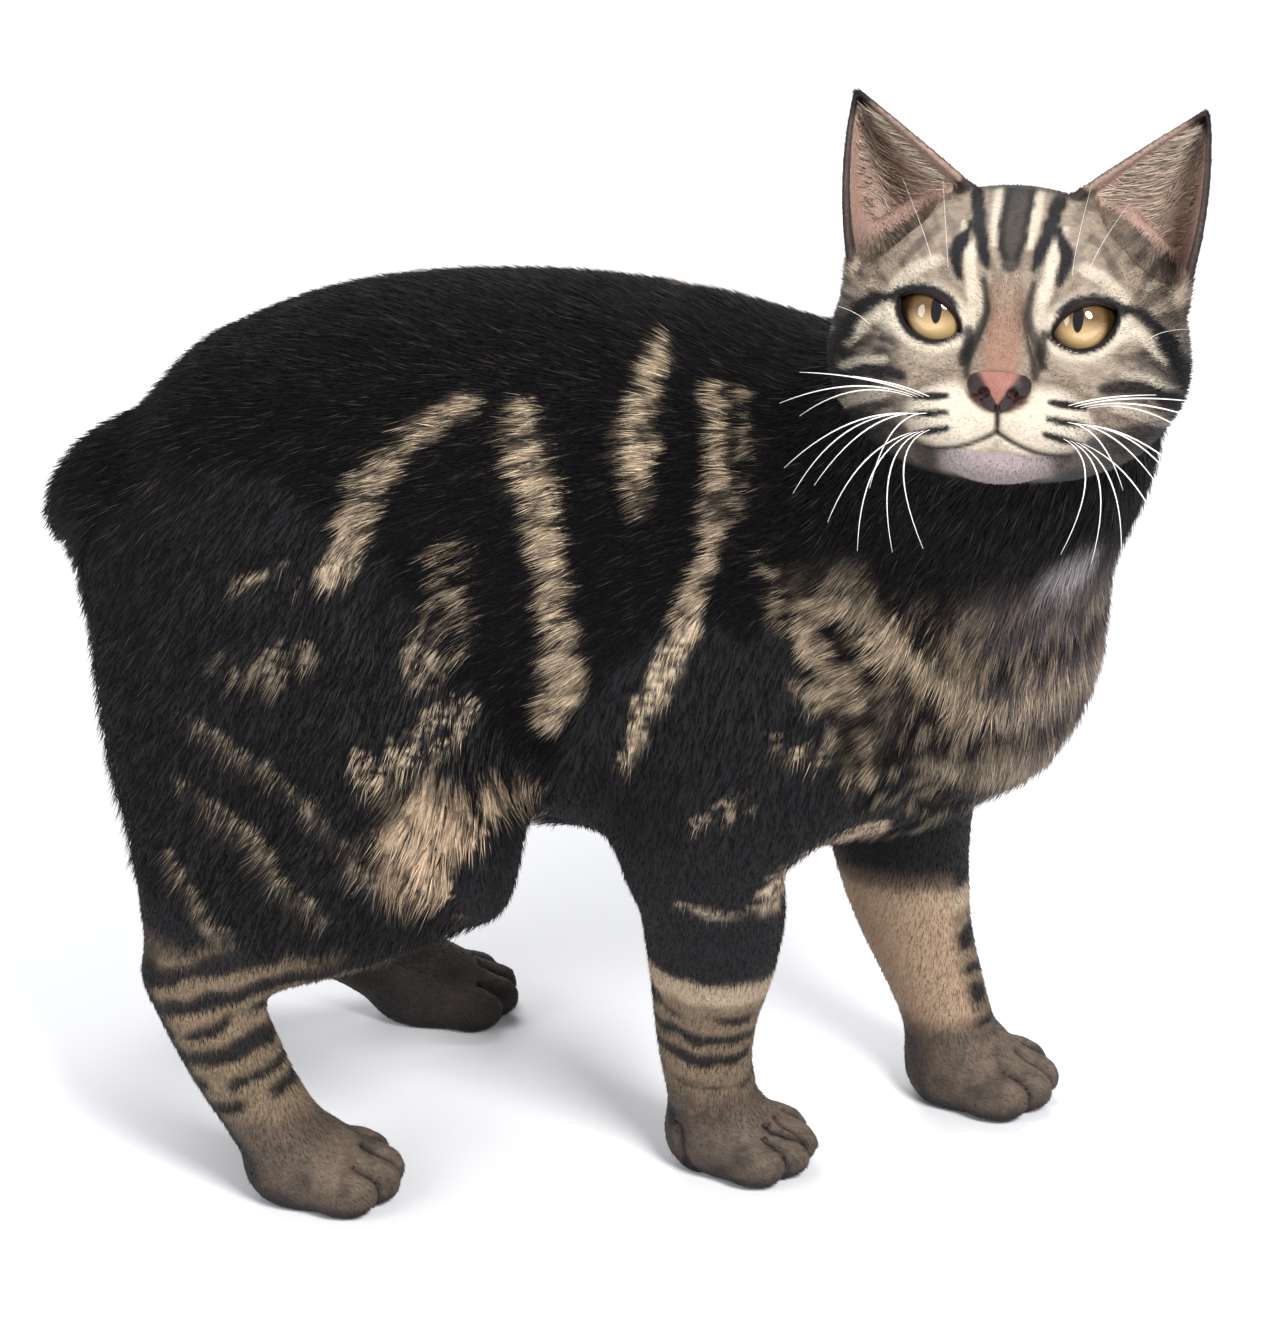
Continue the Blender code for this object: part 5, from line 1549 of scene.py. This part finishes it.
def ball_points(radius, rings, segments, rise, rim):
    """A ball whose pole points forward, with the cornea raised round the pole; then its triangles.
    Points come as across, up, forward."""
    angle = np.linspace(0, math.pi, rings + 1)[1:-1, None]
    turns = np.linspace(0, 2 * math.pi, segments, endpoint=False)
    reach = radius + rise * ramp(radius * np.sin(angle), rim, rim * 0.45) * (angle < math.pi / 2)
    ring = reach * np.sin(angle)
    points = np.stack([ring * np.cos(turns), ring * np.sin(turns), reach * np.cos(angle) + 0 * turns], 2)
    points = np.vstack([points.reshape(-1, 3), [(0, 0, radius + rise)], [(0, 0, -radius)]])
    return points, ring_faces(rings - 1, segments, len(points) - 2, len(points) - 1)


def make_eye(side, sizes):
    """One eyeball with its cornea, which looks the way the face does."""
    sign = SIDE_NAMES[side]
    rim = sizes.iris / METRES
    points, faces = ball_points(EYEBALL_RADIUS, 44, 64, sizes.cornea / METRES, rim)
    forward = unit(np.array(GAZE) * (sign, 1, 1))
    up = unit(np.array((0, 0, 1.0)) - forward * forward[2])
    right = np.cross(forward, up)
    local = points @ np.stack([right, up, forward]) + (sign * EYE_SPACING / 2, 0, 0)
    if np.linalg.det(np.stack([right, up, forward])) < 0:
        faces = faces[:, ::-1]
    made = mesh_object("eyeball_" + side, to_frame(head_to_cat(local)), faces)
    store(made.data, "iris_across", "FLOAT", points[:, 0] / rim)
    store(made.data, "iris_up", "FLOAT", points[:, 1] / rim)
    store(made.data, "iris_front", "FLOAT", (points[:, 2] > 0) * 1.0)
    return made


def eye_paint(sizes):
    """The iris with its threads and the painted shadow of the upper lid over its top, the pupil, the dark
    rim and the white, under a wet surface.
    """
    paint = Paint("amber_eye", roughness=0.06, coat_weight=1.0, coat_roughness=0.02, specular_ior_level=0.5)
    across = paint.kept("iris_across", "Fac")
    up = paint.kept("iris_up", "Fac")
    out = paint.maths("SQRT", across * across + up * up)
    around = paint.maths("ARCTAN2", up, across)
    threads = paint.add("ShaderNodeCombineXYZ", {}, {"X": around * 9.0, "Y": out * 1.4})
    threads = paint.add("ShaderNodeTexNoise", {}, {"Vector": threads, "Scale": 2.2, "Detail": 4.0})
    stops = [(0.0, sizes.iris_rim_and_lid_shadow), (0.3, tuple(0.5 * v for v in sizes.amber)), (0.65, tuple(sizes.amber)),
             (1.0, tuple(min(1, 1.25 * v) for v in sizes.amber))]
    # Painted shadow of the upper lid: the iris darkens towards its top, broken by its threads
    lid_shadow_fall = out * -0.1 + up * -1.5 + threads * 0.6 - 0.02
    iris = paint.add("ShaderNodeValToRGB", {"stops": stops}, {"Fac": lid_shadow_fall})
    limbus = paint.add("ShaderNodeMapRange", {"interpolation_type": "SMOOTHSTEP"},
                       {"Value": out, "From Min": 0.80, "From Max": 1.0})
    iris = paint.mix(limbus, iris, tuple(0.25 * v for v in sizes.iris_rim_and_lid_shadow))
    wide, tall = (size / 2 / sizes.iris for size in (sizes.pupil_width, sizes.pupil_height))
    level, upright = across / wide, (up - PUPIL_RISE) / tall
    oval = paint.maths("SQRT", level * level + upright * upright)
    pupil = paint.add("ShaderNodeMapRange", {"interpolation_type": "SMOOTHSTEP"},
                      {"Value": oval, "From Min": 1.08, "From Max": 0.94})
    shade = paint.mix(pupil, iris, (0.002, 0.002, 0.003))
    return paint.feed(Base_Color=shade, Roughness=0.05 + limbus * 0.1)


def tube(path, radii, sides=6):
    """Points and triangles of a closed-ended tube along a path, whose two ends are sharp."""
    path = np.asarray(path, float)
    along = unit(np.gradient(path, axis=0))
    guide = np.array((0.31, 0.22, 0.93))
    across = unit(np.cross(along, guide))
    over = np.cross(along, across)
    turns = np.linspace(0, 2 * math.pi, sides, endpoint=False)
    rings = []
    for centre, a, b, radius in zip(path, across, over, radii):
        rings.append(centre + radius * (np.cos(turns)[:, None] * a + np.sin(turns)[:, None] * b))
    points = np.vstack([*rings, path[:1], path[-1:]])
    return points, ring_faces(len(path), sides, len(points) - 2, len(points) - 1)


def joined(parts):
    """Several lots of points and triangles as one."""
    points, faces, start = [], [], 0
    for some_points, some_faces in parts:
        points.append(some_points)
        faces.append(some_faces + start)
        start += len(some_points)
    return np.vstack(points), np.vstack(faces)


def make_lid_rim(side):
    """The bare dark edge round the opening between the lids."""
    sign = SIDE_NAMES[side]
    outward, rise, forward = eye_axes(sign)
    path = []
    for upper in (True, False):
        reach = np.linspace(-1, 1, 40, endpoint=False) * (1 if upper else -1)
        height = UPPER_LID_RISE if upper else -LOWER_LID_DROP
        radius = (LID_HALF_LENGTH ** 2 + height ** 2) / (2 * abs(height))
        sideways = reach * LID_HALF_LENGTH
        up = np.sign(height) * (np.sqrt(radius ** 2 - sideways ** 2) - radius + abs(height))
        ahead = np.sqrt((EYEBALL_RADIUS + LID_RIM_RISE) ** 2 - sideways ** 2 - up ** 2)
        path.append(np.outer(sideways, outward) + np.outer(up, rise) + np.outer(ahead, forward))
    path = np.vstack(path)
    path = np.vstack([path, path[:1]]) + (sign * EYE_SPACING / 2, 0, 0)
    share = np.linspace(0, 2, len(path))
    radii = np.where(share < 1, 1.0, 0.42) * (0.62 + 0.5 * np.sin(share * math.pi) ** 2)
    points, faces = tube(path, radii, 8)
    return mesh_object("lid_rim_" + side, to_frame(head_to_cat(points)), faces)


def make_nose():
    """The nose leather, a hair proud of the skin, with its nostrils."""
    grooves = [groove_rows(groove) for groove in (NOSTRIL_SLIT, PHILTRUM)]

    def field_of(local):
        folded = to_right(local)
        field = np.full(len(folded), FAR)
        for centre, radii, width in NOSE_MASSES:
            field = blend(field, ellipsoid(folded, centre, radii), width)
        field = np.maximum(field - LEATHER_RISE, NOSE_BACK - folded[:, 1])
        field = carve(field, ellipsoid(folded, *NOSTRIL), 0.7)
        for rows in grooves:
            field = carve(field, sweep(folded, rows, (0, 1, 0)), 0.5)
        return field

    points, faces = closed_net(field_of, *NOSE_BOX, NOSE_STEP)
    return mesh_object("nose_leather", to_frame(head_to_cat(points)), faces)


def nose_paint(sizes):
    """Pebbled leather, pink in the middle and dark along its rim and nostrils, with painted shade in the
    grooves between its pebbles.
    """
    paint = Paint("nose_leather", roughness=0.5, specular_ior_level=0.35)
    pebbles = paint.add("ShaderNodeTexVoronoi", {"feature": "F1"},
                        {"Vector": paint.add("ShaderNodeTexCoord", output="Object"), "Scale": 1900.0})
    shade = paint.mix(paint.kept("leather_rim", "Fac"), sizes.nose_pink, sizes.nose_rim)
    # Painted shade in the grooves between the pebbles
    shade = paint.mix(pebbles * 0.35, shade, (0.02, 0.01, 0.01))
    return paint.feed(Base_Color=shade, Roughness=0.45 + pebbles * 0.2,
                      Normal=paint.bump(1 - pebbles, 0.35, 0.0003))


def skin_front(tree, across, up):
    """The place on the face at these head coordinates, and the skin's normal there."""
    start = to_frame(head_to_cat([(across, 70, up)]))[0]
    ahead = Vector(HEAD_TURN[:, 1])
    place, normal, _, _ = tree.ray_cast(Vector(start), -ahead)
    if place is None:
        raise RuntimeError(f"no skin in front of {across}, {up}")
    return cat_to_head(to_cat(np.array(place))), np.array(normal) @ HEAD_TURN


def hair_path(start, middle, end, count=15):
    t = np.linspace(0, 1, count)[:, None]
    return (1 - t) ** 2 * start + 2 * t * (1 - t) * middle + t ** 2 * end


def make_whiskers(skin, side, sizes):
    """The whiskers of one pad, the hairs over one eye and a few on the cheek."""
    rng = np.random.default_rng(40 + SIDE_NAMES[side])
    sign = SIDE_NAMES[side]
    tree = BVHTree.FromPolygons([v.co for v in skin.data.vertices], [p.vertices for p in skin.data.polygons])
    thick = sizes.whisker_radius / METRES
    parts = []
    for (start, end), ends in zip(WHISKER_ROWS, WHISKER_ENDS):
        for number, share in enumerate(np.linspace(FIRST_WHISKER, 1, WHISKERS_IN_ROW)):
            across, up = np.array(start) + share * (np.array(end) - start)
            root, normal = skin_front(tree, sign * across, up)
            tip = np.array(ends[number]) * (sign, 1, 1) + rng.normal(0, 1.5, 3)
            reach = np.linalg.norm(tip - root)
            middle = root + unit(normal * 0.6 + np.array((sign * 0.9, 0, 0.05))) * reach * 0.4
            path = hair_path(root - normal * 0.8, middle, tip)
            girth = np.interp(np.linspace(0, 1, len(path)), (0, 0.25, 0.5, 1), (0.3, 0.8, 1, 0.35))
            parts.append(tube(path, thick * girth, 5))
    for across, up, tip in BROW_HAIRS:
        root, normal = skin_front(tree, sign * across, up)
        tip = np.array(tip) * (sign, 1, 1) + rng.normal(0, 1.0, 3)
        middle = root + unit(normal + (0, 0, 0.6)) * np.linalg.norm(tip - root) * 0.45
        path = hair_path(root - normal * 0.6, middle, tip)
        parts.append(tube(path, thick * 0.32 * np.linspace(1, 0.3, len(path)), 5))
    points, faces = joined(parts)
    return mesh_object("whiskers_" + side, to_frame(head_to_cat(points)), faces)


def make_ear_hairs(side, paints):
    """Long pale hairs that cross the ear's cup from its inner edge."""
    sign = SIDE_NAMES[side]
    flip = (sign, 1, 1)
    rng = np.random.default_rng(60 + sign)
    sheet, normals, _ = ear_sheet()
    rows, columns = sheet.shape[:2]
    up = (rng.random(EAR_HAIRS) ** 1.2 * 0.8 * rows).astype(int) + 2
    across = (rng.random(EAR_HAIRS) ** 1.4 * 0.7 * columns).astype(int) + 1
    facing = normals[up, across] * np.sign(normals[up, across][:, 1:2])
    roots = sheet[up, across] + facing
    outward = unit(sheet[np.minimum(up + 8, rows - 1), np.minimum(across + 22, columns - 1)] - roots)
    lie = outward + rng.normal(0, 0.16, (EAR_HAIRS, 3)) + (0, 0.25, 0.15)
    lie = unit(lie - facing * (lie * facing).sum(1)[:, None])
    roots = head_to_cat((roots + (EAR_SWAY[side], 0, 0)) * flip)
    facing = facing * flip @ HEAD_TURN.T
    lie = lie * flip @ HEAD_TURN.T
    length = (5 + 8 * rng.random(EAR_HAIRS)) * (1 - 0.5 * up / rows)
    tints = np.array(paints.ear_hair) * (0.55 + 0.6 * rng.random(EAR_HAIRS))[:, None]
    uv = globe_unwrap(roots, False)
    lift = 0.25 + 0.35 * rng.random(EAR_HAIRS)
    width = np.full(EAR_HAIRS, EAR_HAIR_WIDTH)
    return tuft_object("ear_hairs_" + side, roots, facing, lie, length, width, lift, tints, uv, rng, 3)


class CatMaker:
    """What the makers share: each makes its pieces from the settings kept on the scene."""
    bl_options = {"REGISTER", "UNDO"}

    def execute(self, context):
        self.make(context.scene.manx)
        return {"FINISHED"}


class ManxSettings(bpy.types.PropertyGroup):
    """All the sizes and colours of the cat."""
    coat: PointerProperty(name="Coat", description="Sizes of the coat", type=CoatSizes)
    colours: PointerProperty(name="Colours", description="Colours of the coat", type=CoatColours)
    face: PointerProperty(name="Face", description="Eyes, nose and whiskers", type=FaceSizes)
    stage: PointerProperty(name="Stage", description="Camera and floor", type=StageSizes)


class MANX_OT_skin(CatMaker, bpy.types.Operator):
    """Makes the one skin that stands for the flesh"""
    bl_idname = "manx.skin"
    bl_label = "Skin"

    def make(self, settings):
        made = make_skin(settings.coat)
        mark_skin(made, settings.coat, settings.colours)
        ride_and_finish(made, skin_paint())
        made.data.shade_smooth()
        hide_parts(*FLESH)


class MANX_OT_coat(CatMaker, bpy.types.Operator):
    """Grows the coat over the skin, piece by piece"""
    bl_idname = "manx.coat"
    bl_label = "Coat"

    def make(self, settings):
        skin = SkinPoints(bpy.data.objects["skin"])
        material = coat_paint()
        for number, row in enumerate(COAT_PIECES):
            made = coat_piece(skin, row, number, settings.coat, settings.colours)
            ride_and_finish(made, material)


class MANX_OT_eyes(CatMaker, bpy.types.Operator):
    """Makes both eyeballs and the rims of their lids"""
    bl_idname = "manx.eyes"
    bl_label = "Eyes and lids"

    def make(self, settings):
        amber = eye_paint(settings.face)
        rim = Paint("lid_rim", roughness=0.5, specular_ior_level=0.08)
        damp = rim.noise(1200, 2.0)
        shade = rim.mix(damp, settings.face.lid, (0.022, 0.014, 0.012))
        rim.feed(Base_Color=shade, Roughness=0.42 + damp * 0.2)
        for side in SIDE_NAMES:
            eye = ride_and_finish(make_eye(side, settings.face), amber)
            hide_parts("eye_" + side)
            ride_and_finish(make_lid_rim(side), rim.material)


class MANX_OT_nose(CatMaker, bpy.types.Operator):
    """Makes the nose leather"""
    bl_idname = "manx.nose"
    bl_label = "Nose"

    def make(self, settings):
        made = make_nose()
        local = cat_to_head(to_cat(numbers(made.data.vertices, "co", 3)))
        folded = to_right(local)
        wedge = folded[:, 0] / np.maximum((folded[:, 2] - WEDGE_POINT) * WEDGE_SLOPE, 0.3)
        store(made.data, "leather_rim", "FLOAT", ramp(wedge, 0.62, 1.12))
        ride_and_finish(made, nose_paint(settings.face))


class MANX_OT_whiskers(CatMaker, bpy.types.Operator):
    """Makes the whiskers, the brow hairs and the long hairs in the ears"""
    bl_idname = "manx.whiskers"
    bl_label = "Whiskers and ear hair"

    def make(self, settings):
        skin = bpy.data.objects["skin"]
        paint = Paint("whisker", roughness=0.35, specular_ior_level=0.5)
        uneven = paint.noise(400, 2.0)
        paint.feed(Base_Color=paint.mix(uneven * 0.3, settings.face.whisker, (0.5, 0.46, 0.4)),
                   Roughness=0.3 + uneven * 0.15)
        for side in SIDE_NAMES:
            ride_and_finish(make_whiskers(skin, side, settings.face), paint.material)
            hairs = make_ear_hairs(side, settings.colours)
            ride_and_finish(hairs, bpy.data.materials["tabby_coat"])


def aimed(made, place, aim):
    """Puts a lamp or the camera at a place and turns it towards another."""
    made.location = place
    made.rotation_euler = (aim - place).to_track_quat("-Z", "Y").to_euler()
    return made


class MANX_OT_stage(CatMaker, bpy.types.Operator):
    """Lays the pale floor and sets up the soft light and the camera"""
    bl_idname = "manx.stage"
    bl_label = "Stage"

    def make(self, settings):
        stage = settings.stage
        corners = np.array([(-1, -1, 0), (1, -1, 0), (1, 1, 0), (-1, 1, 0)]) * FLOOR_REACH
        floor = mesh_object("floor", corners, [(0, 1, 2, 3)], smooth=False)
        paint = Paint("floor", roughness=0.85, specular_ior_level=0.1)
        faint = paint.noise(3.0, 3.0)
        pale = tuple(stage.floor_colour)
        floor.data.materials.append(paint.feed(Base_Color=paint.mix(faint * 0.08, pale, (0.62, 0.62, 0.66))))
        heading = stage.camera_heading
        across = Vector((math.cos(heading), math.sin(heading), 0))
        ahead = Vector((-math.sin(heading), math.cos(heading), 0))
        foot = Vector((FRAME_SHIFT[0], FRAME_SHIFT[1], 0)) * METRES
        place = foot - ahead * stage.camera_distance + Vector((0, 0, stage.camera_height))
        aim = foot + Vector((0, 0, stage.aim_height))
        for name, side, back, height, size, watts in LIGHTS:
            lamp = bpy.data.lights.new(name, "AREA")
            lamp.shape = "DISK"
            lamp.size = size
            lamp.energy = watts
            stands_at = foot + across * side + ahead * back + Vector((0, 0, height))
            aimed(add_object(name, lamp), stands_at, aim)
        world = bpy.data.worlds.new("studio")
        world.use_nodes = True
        sky = world.node_tree.nodes["Background"].inputs
        sky["Color"].default_value = WORLD_COLOUR
        sky["Strength"].default_value = WORLD_LIGHT
        bpy.context.scene.world = world
        bpy.context.scene.view_settings.view_transform = "Standard"
        camera = bpy.data.cameras.new("camera")
        camera.lens = stage.lens
        camera.sensor_width = SENSOR_WIDTH
        camera.clip_end = SEEN_TO
        bpy.context.scene.camera = aimed(add_object("camera", camera), place, aim)


class MANX_PT_panel(bpy.types.Panel):
    """The makers and their settings in the sidebar"""
    bl_idname = "MANX_PT_panel"
    bl_label = "Manx cat"
    bl_space_type = "VIEW_3D"
    bl_region_type = "UI"
    bl_category = "Manx cat"

    def draw(self, context):
        for maker in MAKERS:
            self.layout.operator(maker.bl_idname)
        for group in (context.scene.manx.coat, context.scene.manx.colours, context.scene.manx.face,
                      context.scene.manx.stage):
            box = self.layout.box()
            for name in group.__annotations__:
                box.prop(group, name)


MAKERS = (MANX_OT_skin, MANX_OT_coat, MANX_OT_eyes, MANX_OT_nose, MANX_OT_whiskers, MANX_OT_stage)
CLASSES = (CoatSizes, CoatColours, FaceSizes, StageSizes, ManxSettings, *MAKERS, MANX_PT_panel)


def register():
    for shown in CLASSES:
        bpy.utils.register_class(shown)
    bpy.types.Scene.manx = PointerProperty(name="Manx cat", description="The cat's settings",
                                           type=ManxSettings)


def unregister():
    del bpy.types.Scene.manx
    for shown in reversed(CLASSES):
        bpy.utils.unregister_class(shown)


def main():
    register()
    bpy.ops.manx.skin()
    bpy.ops.manx.coat()
    bpy.ops.manx.eyes()
    bpy.ops.manx.nose()
    bpy.ops.manx.whiskers()
    bpy.ops.manx.stage()


if __name__ == "__main__":
    main()
